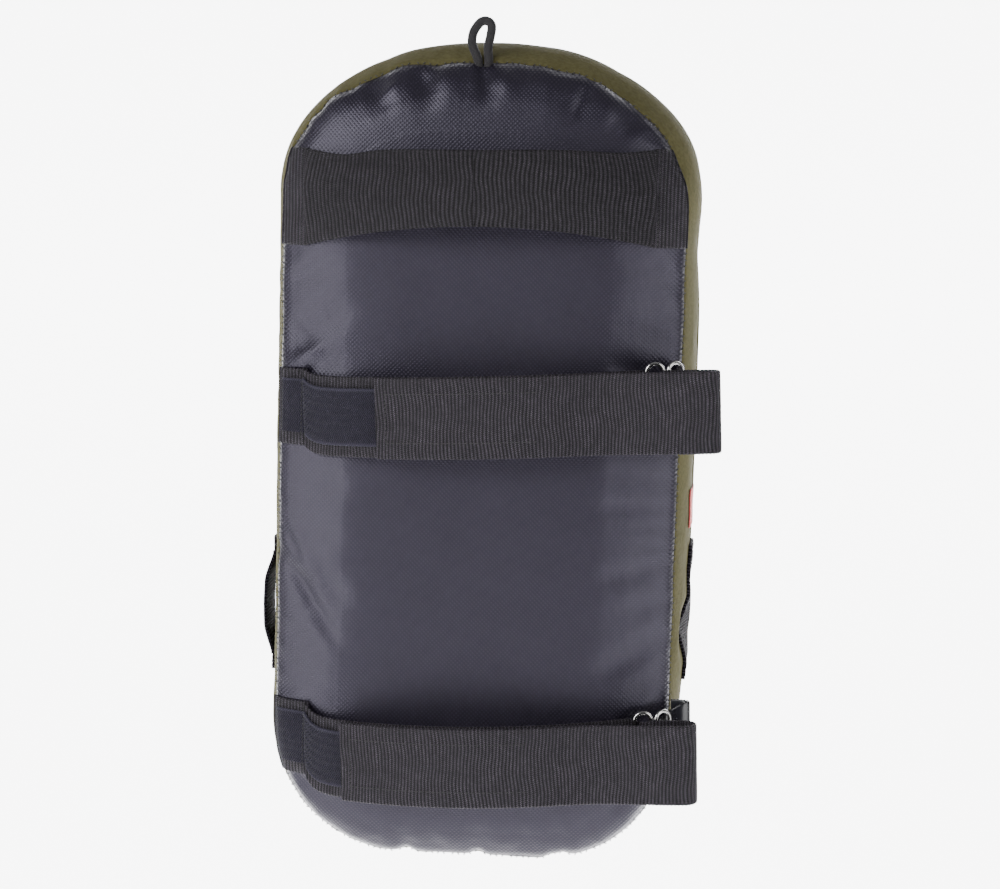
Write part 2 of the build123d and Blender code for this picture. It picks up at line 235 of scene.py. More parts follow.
def webbing(name, pitch, tint=1.0, shine=0.3):
    """Ribbed woven webbing: the ribs are in the mesh; the yarn, a painted shade in the rib valleys and
    painted highlights on the rib crests are here.
    """
    finish = Finish(name, Specular_IOR_Level=shine)
    lie = finish.lie()
    along, across = finish.axis(lie, "X"), finish.axis(lie, "Y")
    rib = finish.wave(along, pitch, math.pi / 2)
    row = finish.calc("FLOOR", finish.calc("DIVIDE", along, pitch))
    beads = finish.wave(finish.calc("MULTIPLY_ADD", row, BEAD_SHIFT, across), BEAD_PITCH)
    fine = finish.wave(across, 0.55)
    cloud = finish.noise(finish.stretch(lie, (0.05, 0.05, 1)), 1, 3)
    patchy = finish.noise(finish.stretch(lie, (0.22, 0.12, 1)), 1, 2)
    fibre = finish.noise(finish.stretch(lie, (3, 1.2, 1)), 1, 2)
    groove_shade = ink(9 * tint, 8 * tint, 11 * tint)
    mid = ink(28 * tint, 25 * tint, 31 * tint)
    pale = ink(122 * tint, 113 * tint, 127 * tint)
    # Painted shade: the colour darkens into the valleys between the ribs.
    tone = finish.mix(finish.span(rib, 0.15, 0.75), groove_shade, mid)
    # Painted highlight: pale glints on the rib crests and on the beads along them.
    glint = finish.calc("MULTIPLY", finish.calc("MULTIPLY", rib, beads), finish.span(fibre, 0.35, 0.65))
    glint = finish.calc("MULTIPLY", glint, finish.span(patchy, 0.3, 0.7, 0.45, 1.0))
    faded = finish.span(cloud, 0.35, 0.75, 0, 0.35)
    finish.colour(finish.mix(faded, finish.mix(glint, tone, pale), ink(24 * tint, 22 * tint, 27 * tint)))
    finish.roughness(fibre, 0.5, 0.75)
    height = finish.calc("ADD", finish.calc("MULTIPLY", beads, 0.7), finish.calc("MULTIPLY", fine, 0.2))
    finish.relief(finish.calc("ADD", height, finish.calc("MULTIPLY", fibre, 0.4)), 0.32)
    return finish.material


def loop_pile():
    """Fuzzy navy loop tape, laid in chevrons, with a painted highlight along its selvages."""
    finish = Finish("loop_pile_fuzz", Specular_IOR_Level=0.2, Sheen_Weight=0.12, Sheen_Roughness=0.4)
    lie = finish.lie()
    along, across = finish.axis(lie, "X"), finish.axis(lie, "Y")
    zigzag = finish.calc("PINGPONG", across, 2.6)
    wander = finish.noise(lie, 2.0, 2)
    slant = finish.calc("ADD", along, finish.calc("MULTIPLY_ADD", zigzag, 0.8, wander))
    chevron = finish.wave(slant, 1.5)
    fuzz = finish.noise(lie, 0.45, 4)
    clump = finish.noise(lie, 5, 3)
    # Painted highlight: the tape turns paler towards its selvages, standing in for the light they catch.
    edge = finish.span(finish.calc("ABSOLUTE", across), 15.4, 17.0)
    loops = finish.calc("MULTIPLY", chevron, finish.span(fuzz, 0.3, 0.7))
    tone = finish.mix(loops, ink(13, 12, 19), ink(70, 66, 84))
    tone = finish.mix(finish.span(clump, 0.35, 0.75, 0, 0.5), tone, ink(26, 24, 34))
    finish.colour(finish.mix(finish.calc("MULTIPLY", edge, 0.45), tone, ink(70, 67, 82)))
    finish.roughness(fuzz, 0.8, 0.95)
    finish.relief(finish.calc("ADD", finish.calc("MULTIPLY", chevron, 0.5), fuzz), 0.5)
    return finish.material


def hook_pile():
    """Hook tape: rows of small stiff hooks."""
    finish = Finish("hook_pile_rows", Specular_IOR_Level=0.4)
    lie = finish.lie()
    along, across = finish.axis(lie, "X"), finish.axis(lie, "Y")
    row = finish.wave(across, 1.6)
    step = finish.wave(along, 1.3)
    hooks = finish.calc("MULTIPLY", row, step)
    finish.colour(finish.mix(hooks, ink(16, 16, 18), ink(52, 52, 58)))
    finish.roughness(finish.noise(lie, 2, 2), 0.45, 0.6)
    finish.relief(hooks, 0.6)
    return finish.material


def thread():
    """Twisted black sewing thread."""
    finish = Finish("thread_twist", Specular_IOR_Level=0.4, Sheen_Weight=0.2)
    place = finish.place()
    grain = finish.noise(place, 0.3, 2)
    finish.colour(finish.mix(grain, ink(12, 12, 14), ink(46, 44, 48)))
    finish.roughness(grain, 0.5, 0.7)
    finish.relief(grain, 0.1)
    return finish.material


def braid():
    """Black braided cord: the strands are in the mesh, and their fibres are here."""
    finish = Finish("cord_braid", Specular_IOR_Level=0.35, Sheen_Weight=0.15)
    lie = finish.lie()
    along, around = finish.axis(lie, "X"), finish.axis(lie, "Y")
    fibre = finish.noise(finish.stretch(lie, (4, 4, 1)), 1, 2)
    strand = finish.wave(finish.calc("ADD", along, around), 1.1)
    finish.colour(finish.mix(finish.calc("MULTIPLY", strand, fibre), ink(14, 13, 15), ink(58, 54, 58)))
    finish.roughness(fibre, 0.5, 0.7)
    finish.relief(finish.calc("ADD", strand, fibre), 0.15)
    return finish.material


def chrome():
    """Polished wire with faint handling marks."""
    finish = Finish("wire_chrome", Metallic=1.0)
    place = finish.place()
    smear = finish.noise(place, 1.5, 4)
    finish.colour(finish.mix(smear, ink(190, 188, 186), ink(228, 227, 226)))
    finish.roughness(smear, 0.08, 0.22)
    finish.relief(smear, 0.02)
    return finish.material


def coral_label():
    """A plain coral woven label."""
    finish = Finish("coral_weave", Specular_IOR_Level=0.25, Sheen_Weight=0.2)
    lie = finish.lie()
    warp = finish.wave(finish.axis(lie, "X"), 0.6)
    weft = finish.wave(finish.axis(lie, "Y"), 0.6)
    weave = finish.calc("MULTIPLY", warp, weft)
    finish.colour(finish.mix(weave, ink(226, 84, 84), ink(252, 128, 122)))
    finish.roughness(weave, 0.6, 0.75, 0.0, 1.0)
    finish.relief(weave, 0.12)
    return finish.material


def foam(name, pale, dark, cell):
    """Foam with open or closed cells."""
    finish = Finish(name, Specular_IOR_Level=0.2)
    place = finish.place()
    cells = finish.node("ShaderNodeTexVoronoi", {"Vector": place, "Scale": 1 / cell}, output="Distance")
    finish.colour(finish.mix(cells, dark, pale))
    finish.roughness(cells, 0.8, 0.95, 0.0, 0.6)
    finish.relief(cells, 0.4)
    return finish.material


MATERIALS = {
    "black_vinyl": black_vinyl(),
    "gloss_vinyl": gloss_vinyl(),
    "olive_vinyl": olive_vinyl(),
    "webbing": webbing("webbing_ribs", RIB_PITCH),
    "grip_webbing": webbing("webbing_grip_ribs", GRIP_RIB_PITCH, 0.82),
    # Painted shade: the handles use a darker copy of the same webbing, for their shaded place on the pad's
    # sides.
    "shaded_handle_webbing": webbing("webbing_handle_ribs_shaded", RIB_PITCH, 0.9, 0.03),
    "loop_pile": loop_pile(),
    "hook_pile": hook_pile(),
    "thread": thread(),
    "cord": braid(),
    "wire": chrome(),
    "coral": coral_label(),
    "firm_foam": foam("foam_firm", ink(150, 150, 146), ink(110, 110, 108), 1.0),
    "soft_foam": foam("foam_soft", ink(214, 210, 190), ink(170, 165, 140), 1.8),
}


# --- Mesh helpers ----------------------------------------------------------------------------------
def smooth(share):
    share = np.clip(share, 0, 1)
    return share * share * (3 - 2 * share)


def curve(points, step):
    """A smooth line through the points, with a point about every step."""
    points = np.asarray(points, float)
    padded = np.vstack([2 * points[0] - points[1], points, 2 * points[-1] - points[-2]])
    dense = []
    for a, b, c, d in zip(padded, padded[1:], padded[2:], padded[3:]):
        t = np.linspace(0, 1, 40, endpoint=False)[:, None]
        bend = (2 * a - 5 * b + 4 * c - d) * t**2 + (3 * b - a - 3 * c + d) * t**3
        dense.append(0.5 * (2 * b + (c - a) * t + bend))
    return evenly(np.vstack(dense + [points[-1:]]), step)


def distances(line):
    """How far along the line each of its points lies."""
    return np.concatenate([[0], np.cumsum(np.linalg.norm(np.diff(line, axis=0), axis=1))])


def evenly(line, step):
    """The same line with a point about every step along it."""
    lengths = distances(line)
    count = max(2, int(round(lengths[-1] / step)) + 1)
    at = np.linspace(0, lengths[-1], count)
    return np.stack([np.interp(at, lengths, line[:, k]) for k in range(line.shape[1])], 1)


def ripple(at, pitch, seed, loop=None):
    """Smooth random waves about pitch long, from -1 to 1. With loop, they close after that length."""
    count = max(4, int(round((loop or 4000) / pitch)))
    knots = np.random.default_rng(seed).uniform(-1, 1, count)
    at = np.asarray(at) / (loop or 4000) * count
    low = np.floor(at).astype(int)
    share = smooth(at - low)
    return knots[low % count] * (1 - share) + knots[(low + 1) % count] * share


def make_object(name, points, faces, slot, body, lie=None):
    """A mesh piece from points on the pad, with its finish and the body it rides on."""
    mesh = bpy.data.meshes.new(name)
    mesh.from_pydata(to_row(points).tolist(), [], faces)
    mesh.validate()
    mesh.update()
    if lie is not None:
        attribute = mesh.attributes.new("lie", "FLOAT_VECTOR", "POINT")
        values = np.zeros((len(points), 3), np.float32)
        values[:, :2] = lie
        attribute.data.foreach_set("vector", values.ravel())
    mesh.shade_smooth()
    mesh.materials.append(MATERIALS[slot])
    piece = bpy.data.objects.new(name, mesh)
    bpy.context.scene.collection.objects.link(piece)
    if body:
        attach(piece, body)
    return piece


def quads(index):
    """The faces between neighbours of a grid of point numbers."""
    return np.stack([index[:-1, :-1], index[1:, :-1], index[1:, 1:], index[:-1, 1:]], -1).reshape(-1, 4)


def surface_normals(mid):
    """Unit normals of a grid of points."""
    normals = np.cross(np.gradient(mid, axis=0), np.gradient(mid, axis=1))
    length = np.linalg.norm(normals, axis=2, keepdims=True)
    return normals / np.maximum(length, 1e-9)


def sheet_grid(mid, half, towards, relief=0.0):
    """A closed sheet round a grid of middle points: (points, faces). half is half its thickness, and
    relief is added to both sides. towards is the way the top side faces at the grid's middle."""
    rows, columns = mid.shape[:2]
    normals = surface_normals(mid)
    if np.dot(normals[rows // 2, columns // 2], towards) < 0:
        normals = -normals
    half = np.broadcast_to(np.asarray(half, float), (rows, columns))[..., None]
    relief = np.broadcast_to(np.asarray(relief, float), (rows, columns))[..., None]
    top = mid + normals * (half + relief)
    low = mid - normals * (half + relief)
    points = np.concatenate([top.reshape(-1, 3), low.reshape(-1, 3)])
    return points, sheet_faces(rows, columns)


def sheet_faces(rows, columns):
    """Faces of a closed sheet: a top grid, a low grid and the strips along its open edges."""
    index = np.arange(rows * columns).reshape(rows, columns)
    low = index + rows * columns
    faces = [quads(index), quads(low)[:, [0, 3, 2, 1]]]
    for top, bottom in ((index[:, 0], low[:, 0]), (index[-1], low[-1])):
        faces.append(np.stack([top[:-1], bottom[:-1], bottom[1:], top[1:]], -1))
    for top, bottom in ((index[:, -1], low[:, -1]), (index[0], low[0])):
        faces.append(np.stack([top[:-1], top[1:], bottom[1:], bottom[:-1]], -1))
    return np.concatenate(faces).tolist()


def face_outwards(piece):
    """Turns every face outwards."""
    mesh = bmesh.new()
    mesh.from_mesh(piece.data)
    bmesh.ops.recalc_face_normals(mesh, faces=mesh.faces)
    mesh.to_mesh(piece.data)
    mesh.free()
    piece.data.shade_smooth()


STITCH_TURNS = 6
STITCH_RINGS = (-1.0, -0.8, -0.35, 0.35, 0.8, 1.0)


def stitches(name, rows, body, radius=0.32):
    """Short raised stitches. Each is (middle, direction, length), and they lie with the cloth."""
    points = []
    faces = []
    angles = np.linspace(0, 2 * math.pi, STITCH_TURNS, endpoint=False)
    for middle, direction, length in rows:
        direction = np.asarray(direction, float) / np.linalg.norm(direction)
        side = np.cross(direction, (0.31, 0.9, 0.3))
        side /= np.linalg.norm(side)
        other = np.cross(direction, side)
        first = len(points)
        for ring in STITCH_RINGS:
            width = radius * math.sqrt(max(1 - ring**2, 0.04))
            for angle in angles:
                out = side * math.cos(angle) + other * math.sin(angle)
                points.append(middle + direction * ring * length / 2 + width * out)
        for ring in range(len(STITCH_RINGS) - 1):
            for turn in range(STITCH_TURNS):
                a = first + ring * STITCH_TURNS + turn
                b = first + ring * STITCH_TURNS + (turn + 1) % STITCH_TURNS
                faces.append((a, b, b + STITCH_TURNS, a + STITCH_TURNS))
        last = first + (len(STITCH_RINGS) - 1) * STITCH_TURNS
        faces.append(tuple(range(first + STITCH_TURNS - 1, first - 1, -1)))
        faces.append(tuple(range(last, last + STITCH_TURNS)))
    return make_object(name, np.array(points), faces, "thread", body)


# --- Hanging loop --------------------------------------------------------------------------------------
CORD = 5.6
LOOP_ROUTE = [
    (-5.6, 247.0), (-6.0, 252.6), (-10.4, 260.2), (-10.0, 267.6), (-6.7, 272.9), (-3.9, 275.3),
    (-0.2, 275.1), (2.1, 272.3), (1.2, 266.0), (-0.4, 258.6), (0.6, 252.2), (0.3, 247.0),
]
STRANDS = 8
BRAID_PITCH = 10.5
CORD_TURNS = 40


def make_loop():
    """The cord: a braided tube along one smooth curve through the route."""
    data = bpy.data.curves.new("loop_line", "CURVE")
    data.dimensions = "3D"
    spline = data.splines.new("NURBS")
    spline.points.add(len(LOOP_ROUTE) - 1)
    for point, (x, z) in zip(spline.points, LOOP_ROUTE):
        point.co = (*to_row((x, 0, z)), 1)
    spline.order_u = 3
    spline.use_endpoint_u = True
    spline.resolution_u = 24
    line = bpy.data.objects.new("loop_line", data)
    bpy.context.scene.collection.objects.link(line)
    graph = bpy.context.evaluated_depsgraph_get()
    traced = bpy.data.meshes.new_from_object(line.evaluated_get(graph))
    path = (np.array([v.co for v in traced.vertices]) - PAD_CENTRE) / MM
    bpy.data.objects.remove(line)
    path = evenly(path, 0.22)
    along = distances(path)
    ahead = np.gradient(path, axis=0)
    ahead /= np.linalg.norm(ahead, axis=1, keepdims=True)
    depth = np.tile((0.0, 1.0, 0.0), (len(path), 1))
    side = np.cross(ahead, depth)
    turns = CORD_TURNS
    angles = np.linspace(0, 2 * math.pi, turns, endpoint=False)
    wrap = along[:, None] * 2 * math.pi / BRAID_PITCH
    over = np.abs(np.sin((angles[None, :] * STRANDS / 2 + wrap * 2)))
    under = np.abs(np.sin((angles[None, :] * STRANDS / 2 - wrap * 2)))
    radius = CORD / 2 - 0.32 + 0.34 * np.maximum(over, under)
    round_x, round_y = np.cos(angles)[None, :, None], np.sin(angles)[None, :, None]
    out = side[:, None, :] * round_x + depth[:, None, :] * round_y
    points = path[:, None, :] + radius[..., None] * out
    rows = len(path)
    index = np.arange(rows * turns).reshape(rows, turns)
    index = np.hstack([index, index[:, :1]])
    faces = quads(index).tolist()
    faces += [tuple(range(turns)), tuple(range((rows - 1) * turns, rows * turns))]
    lie = np.stack(np.broadcast_arrays(along[:, None], angles[None, :] * CORD / 2), -1).reshape(-1, 2)
    cord = make_object("hanging_cord", points.reshape(-1, 3), faces, "cord", "loop", lie)
    face_outwards(cord)
    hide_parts("hanging_loop")


make_camera()
make_loop()


# --- Pad -------------------------------------------------------------------------------------------
seam_low, seam_high = (np.array(corner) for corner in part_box("back_seam_thread"))
SEAM_STAND = 0.9
HALF_WIDTH = (seam_high[0] - seam_low[0]) / 2 / MM - SEAM_STAND
HALF_HEIGHT = (seam_high[2] - seam_low[2]) / 2 / MM - SEAM_STAND
# The radius of each corner of the back seam: (side, end) is (+1 or -1 across, +1 or -1 up).
CORNERS = {(1, -1): 80.0, (1, 1): 90.0, (-1, 1): 82.0, (-1, -1): 81.0}
# Sections through the pad's edge, as (depth, swell) and (inset, height) in millimetres.
SWELL = 9.6
WALL = [
    (0, -0.6), (1.2, 0.7), (4, 2.4), (10, 5.0), (18, 7.6), (28, 9.3), (40, 10.2), (52, 10.5), (66, 10.2),
]
FRONT = [(66, 10.2), (74, 9.8), (83, 6.0), (90, -1.0), (94.6, -9), (97, -20), (97.8, -40)]
# How full the wall is round the pad, by direction from its middle in degrees, right to left over the top.
FULLNESS = [
    (-180, 0.9), (-120, 0.9), (-72, 0.1), (-62, 0.2), (-50, 0.55), (-44, 0.8), (0, 0.86),
    (40, 0.82), (48, 0.62), (54, 0.85), (61, 1.35), (68, 1.2), (80, 1.2), (86, 1.35),
    (96, 1.35), (101, 1.2), (107, 0.95), (112, 0.82), (120, 0.92), (128, 0.9), (180, 0.9),
]
TOP_DOME = 5.5
BOTTOM_SAG = 2.0
CROWN = [
    (0, -0.7), (0.7, 0.9), (2, 3.2), (4, 5.6), (7, 8.0), (11, 10.3), (15, 12.0), (21, 13.9),
    (28, 15.5), (42, 17.6), (52, 18.7), (62, 19.3), (76, 19.7), (100, 19.8), (130, 19.8),
]
COVER = 1.4
RIM = 42.0
# The height of each handle's middle and of the hollow in the wall behind it, by side, then how deep
# the hollow is, how far it reaches up and down, and how far the wall round it sinks.
HANDLE_HEIGHTS = {-1: -100.0, 1: -94.0}
PINCH_HEIGHTS = {-1: -100.0, 1: -104.0}
SCOOP = {-1: 5.5, 1: 6.5}
SLACK = {-1: 2.2, 1: 0.0}
SCOOP_SPAN = {-1: 24.0, 1: 21.0}
# Notches in the bottom seam, and the points counted round the seam.
BOTTOM_NOTCHES = (-39.0, 7.0, 55.0, 62.0)
AROUND = 720
ACROSS = 115
UPRIGHT = 245
FIRST_CORNER = 30


def outline(count):
    """The seam: evenly spaced points (x, z), their outward directions, and the distance round."""
    line = []
    outward = []
    for (side, end), radius in CORNERS.items():
        middle = np.array([side * (HALF_WIDTH - radius), end * (HALF_HEIGHT - radius)])
        first = math.atan2(end, side) - math.pi / 4
        for angle in first + np.linspace(0, math.pi / 2, 60):
            direction = np.array([math.cos(angle), math.sin(angle)])
            line.append(middle + radius * direction)
            outward.append(direction)
    line.append(line[0])
    outward.append(outward[0])
    line, outward = np.array(line), np.array(outward)
    lengths = distances(line)
    at = np.linspace(0, lengths[-1], count, endpoint=False)
    points = np.stack([np.interp(at, lengths, line[:, k]) for k in (0, 1)], 1)
    normals = np.stack([np.interp(at, lengths, outward[:, k]) for k in (0, 1)], 1)
    return points, normals / np.linalg.norm(normals, axis=1, keepdims=True), at, lengths[-1]


seam_points, seam_normals, seam_at, seam_length = outline(AROUND)
seam_x = seam_points[:, 0]
away_from_loop = np.minimum(1, ((seam_x - 4) / 68) ** 2)
seam_points[:, 1] -= TOP_DOME * smooth((seam_points[:, 1] - 150) / 80) * away_from_loop
seam_points[:, 1] -= BOTTOM_SAG * smooth((-seam_points[:, 1] - 170) / 60)
seam_z = seam_points[:, 1]
direction = np.degrees(np.arctan2(seam_z, seam_x))
fullness = np.interp(direction, *np.transpose(FULLNESS))
fullness = np.array([np.mean(np.take(fullness, range(k - 9, k + 10), mode="wrap")) for k in range(AROUND)])
TOP = smooth((seam_z - 150) / 70)
BOTTOM = smooth((-seam_z - 190) / 45)
LEFT = smooth((-seam_x - 85) / 30) * (1 - TOP)
FRONT_PINCH = 2.5 * np.exp(-(((direction - 55) / 9) ** 2))


def seam_pull():
    """How the seam is drawn in and out by its gathers: strong over the top, lobed along the bottom."""
    pull = 0.35 * ripple(seam_at, 26, 3, seam_length)
    pull = pull + TOP * (1.5 * ripple(seam_at, 19, 5, seam_length) + 0.8 * ripple(seam_at, 8, 6, seam_length))
    for notch_x in BOTTOM_NOTCHES:
        pull = pull - BOTTOM * 2.6 * np.exp(-(((seam_x - notch_x) / 4.5) ** 2))
    return pull


SEAM_PULL = seam_pull()
sewn_line = seam_points + seam_normals * SEAM_PULL[:, None]


def gathers(depth, reach, seed):
    """Fine folds that run out from the seam, deepest over the top: (around, depths) heights."""
    fall = np.exp(-np.abs(depth) / reach)[None, :] * smooth(np.abs(depth) / 2.0)[None, :]
    fine = ripple(seam_at, 5.5, seed, seam_length)
    broad = ripple(seam_at, 15, seed + 1, seam_length)
    strength = 0.25 + 0.75 * np.maximum(TOP, 0.7 * BOTTOM)
    return ((0.6 * fine + 0.7 * broad) * strength)[:, None] * fall


def segment_fall(x, z, start, end):
    """Distance from the line start to end, and how far along it, from 0 to 1."""
    start, end = np.array(start, float), np.array(end, float)
    run = end - start
    share = np.clip(((x - start[0]) * run[0] + (z - start[1]) * run[1]) / (run @ run), 0, 1)
    away = np.hypot(x - start[0] - share * run[0], z - start[1] - share * run[1])
    return away, share


# Creases of the back cover: (start, end, width, rise); a rise below zero is a valley.
CREASES = [
    ((-124, -58), (-84, -114), 5.0, -2.4),
    ((-121, -46), (-94, -80), 7.0, 1.6),
    ((-118, 62), (-98, 72), 4.5, 2.4),
    ((-119, 52), (-104, 58), 3.0, -2.4),
    ((-122, 84), (-106, 76), 4.0, -1.6),
    ((-122, -44), (-112, -60), 3.2, -1.8),
    ((-42, 246), (-36, 226), 7.0, -4.2),
    ((-76, 238), (-62, 226), 9.0, -3.4),
    ((-60, 238), (-54, 224), 7.0, 1.8),
    ((-24, 246), (-24, 226), 9.0, 1.8),
    ((-3, 252), (0, 228), 3.6, -3.6),
    ((12, 246), (14, 228), 6.0, 1.6),
    ((64, 242), (56, 216), 4.5, -2.8),
    ((80, 236), (70, 212), 6.0, 1.6),
    ((98, 226), (84, 208), 5.0, -1.8),
    ((116, -150), (96, -160), 4.5, -1.8),
    ((119, -142), (104, -150), 4.5, 1.8),
    ((-112, -200), (-96, -214), 5.0, -1.8),
    ((104, -200), (92, -216), 5.0, -1.8),
]


def crown_height(x, z, inset):
    """How far the back cover stands above the seam plane."""
    knots = curve(CROWN, 0.4)
    height = np.interp(inset, knots[:, 0], knots[:, 1])
    for start, end, width, rise in CREASES:
        away, share = segment_fall(x, z, start, end)
        height = height + rise * np.exp(-((away / width) ** 2)) * np.sin(np.pi * (0.12 + 0.8 * share))
    return height


def fill(ring):
    """Fills a closed ring of points with a grid: (ACROSS + 1, UPRIGHT + 1) points, or a share of them."""
    every = AROUND // len(ring)
    across, upright = ACROSS // every, UPRIGHT // every
    ring = np.roll(ring, -(FIRST_CORNER // every), axis=0)
    closed = np.concatenate([ring, ring[:1]])
    right = closed[: upright + 1]
    top = closed[upright : upright + across + 1][::-1]
    left = closed[upright + across : 2 * upright + across + 1][::-1]
    low = closed[2 * upright + across :]
    u = np.linspace(0, 1, across + 1)[:, None, None]
    v = np.linspace(0, 1, upright + 1)[None, :, None]
    sides = (1 - u) * left[None] + u * right[None]
    ends = (1 - v) * low[:, None] + v * top[:, None]
    corners = (1 - u) * (1 - v) * low[0] + u * (1 - v) * low[-1] + (1 - u) * v * top[0] + u * v * top[-1]
    return sides + ends - corners


def fill_index(count, first):
    """Point numbers for fill's grid: its border is the ring's own points, its inside is new."""
    every = AROUND // count
    across, upright = ACROSS // every, UPRIGHT // every
    ring = np.roll(np.arange(count), -(FIRST_CORNER // every))
    closed = np.append(ring, ring[0])
    index = np.zeros((across + 1, upright + 1), int)
    index[1:-1, 1:-1] = first + np.arange((across - 1) * (upright - 1)).reshape(across - 1, upright - 1)
    index[-1, :] = closed[: upright + 1]
    index[:, -1] = closed[upright : upright + across + 1][::-1]
    index[0, :] = closed[upright + across : 2 * upright + across + 1][::-1]
    index[:, 0] = closed[2 * upright + across :]
    return index


def ring_index(count, columns):
    """Point numbers for rings round the pad, with the first ring again at the end."""
    index = np.arange(count * columns).reshape(count, columns)
    return np.vstack([index, index[:1]])


def cover_sheet(rings, centre=None):
    """One layer of cover: its points, faces and the point numbers along each open edge."""
    count, columns = rings.shape[:2]
    index = ring_index(count, columns)
    points = rings.reshape(-1, 3)
    faces = [quads(index)]
    edges = [index[:, 0]]
    if centre is None:
        edges.append(index[:, -1])
    else:
        inside = fill_index(count, 0)
        border = inside.copy()
        inside[1:-1, 1:-1] += len(points)
        edge_points = np.ones(inside.shape, bool)
        edge_points[1:-1, 1:-1] = False
        inside[edge_points] = index[:-1, -1][border[edge_points]]
        points = np.concatenate([points, centre[1:-1, 1:-1].reshape(-1, 3)])
        faces.append(quads(inside))
    return points, np.concatenate(faces), edges


def point_normals(points, faces):
    """A unit normal at every point of a mesh of quads."""
    corners = points[faces]
    across = np.cross(corners[:, 2] - corners[:, 0], corners[:, 3] - corners[:, 1])
    normals = np.zeros_like(points)
    for k in range(4):
        np.add.at(normals, faces[:, k], across)
    return normals / np.maximum(np.linalg.norm(normals, axis=1, keepdims=True), 1e-9)


def thick_cover(name, rings, centre, thickness, slot):
    """A closed cover sheet: the outer layer, an inner layer and strips along its edges."""
    points, faces, edges = cover_sheet(rings, centre)
    normals = point_normals(points, faces)
    middle = np.array([0.0, STRIKE_DEPTH / 2, 0.0])
    if np.mean(np.sum(normals * (points - middle), axis=1)) < 0:
        normals = -normals
    count = len(points)
    every_face = [faces, faces[:, ::-1] + count]
    for edge in edges:
        every_face.append(np.stack([edge[:-1], edge[1:], edge[1:] + count, edge[:-1] + count], -1))
    both = np.concatenate([points, points - normals * thickness])
    piece = make_object(name, both, np.concatenate(every_face).tolist(), slot, "pad")
    face_outwards(piece)
    return piece


def back_cover():
    """The back cover's outer layer: rings in from the seam, and the middle."""
    near = [0, 0.5, 1.1, 1.8, 2.6, 3.6, 4.8, 6.2, 7.8, 9.6, 11.6]
    insets = np.concatenate([near, np.arange(14, RIM + 0.1, 2.0)])
    reach = insets[None, :] - SEAM_PULL[:, None] * np.exp(-insets / 14)[None, :]
    plan = seam_points[:, None, :] - seam_normals[:, None, :] * reach[..., None]
    away = np.broadcast_to(insets[None, :], plan.shape[:2])
    height = crown_height(plan[..., 0], plan[..., 1], away)
    height = height + gathers(insets, 11, 11) * (1.2 - 0.3 * TOP[:, None])
    rings = np.stack([plan[..., 0], -height, plan[..., 1]], -1)
    inner = fill(rings[:, -1])
    border = rings[::3, -1][:, [0, 2]]
    inset = np.array([[np.min(np.hypot(*(border - p).T)) for p in row] for row in inner[..., [0, 2]]]) + RIM
    inset[[0, -1], :] = RIM
    inset[:, [0, -1]] = RIM
    inner[..., 1] = -crown_height(inner[..., 0], inner[..., 2], inset)
    return rings, inner


def swell_share(depth):
    """How the wall's swell differs round the pad: fuller over the top, slower at the left and bottom."""
    slow = 0.5 * np.maximum(LEFT, BOTTOM)
    return fullness[:, None] * (1 - slow[:, None] * np.exp(-depth / 22)[None, :])


def wall_rings(profile, step, seed, inset=0.0):
    """The grid of a wall that follows profile, a list of (depth, swell) from the seam plane."""
    line = curve(profile, step)
    depth, swell = line[:, 0], line[:, 1] - inset
    out = np.maximum(swell, 0)[None, :] * swell_share(depth) + np.minimum(swell, 0)[None, :]
    out = out + SEAM_PULL[:, None] * np.exp(-depth / 9)[None, :]
    out = out + gathers(depth, 9, seed) * (0.8 + 0.8 * TOP[:, None])
    out = out - FRONT_PINCH[:, None] * np.exp(-(((depth - WALL[-1][0]) / 8) ** 2))[None, :]
    for side, height in PINCH_HEIGHTS.items():
        near = (side * seam_x > 0)[:, None]
        band = smooth((depth - 10) / 16) * smooth((66 - depth) / 10)
        pinch = SCOOP[side] * np.maximum(0, 1 - np.abs(seam_z - height) / SCOOP_SPAN[side])[:, None]
        slack = SLACK[side] * np.exp(-(((seam_z - height) / 52) ** 2))[:, None]
        out = out - near * (pinch + slack) * band[None, :]
    plan = seam_points[:, None, :] + seam_normals[:, None, :] * out[..., None]
    depths = np.broadcast_to(depth[None, :], out.shape)
    return np.stack([plan[..., 0], depths, plan[..., 1]], -1)


def front_cover():
    """The strike cover's outer layer: the wall's front edge, then the flat face."""
    rings = wall_rings(FRONT, 2.2, 41)
    return rings, fill(rings[:, -1])


# --- Pad filling ------------------------------------------------------------------------------------
FOAM_EVERY = 5
PUFF_VOXEL = 6.0
PUFF_CAP = 3.2
PUFF_FRAMES = 20
PANEL_PUFF = 0.8
WALL_PUFF = 0.3


def one_object(name, points, faces):
    mesh = bpy.data.meshes.new(name)
    mesh.from_pydata((points * MM).tolist(), [], faces)
    piece = bpy.data.objects.new(name, mesh)
    bpy.context.scene.collection.objects.link(piece)
    return piece


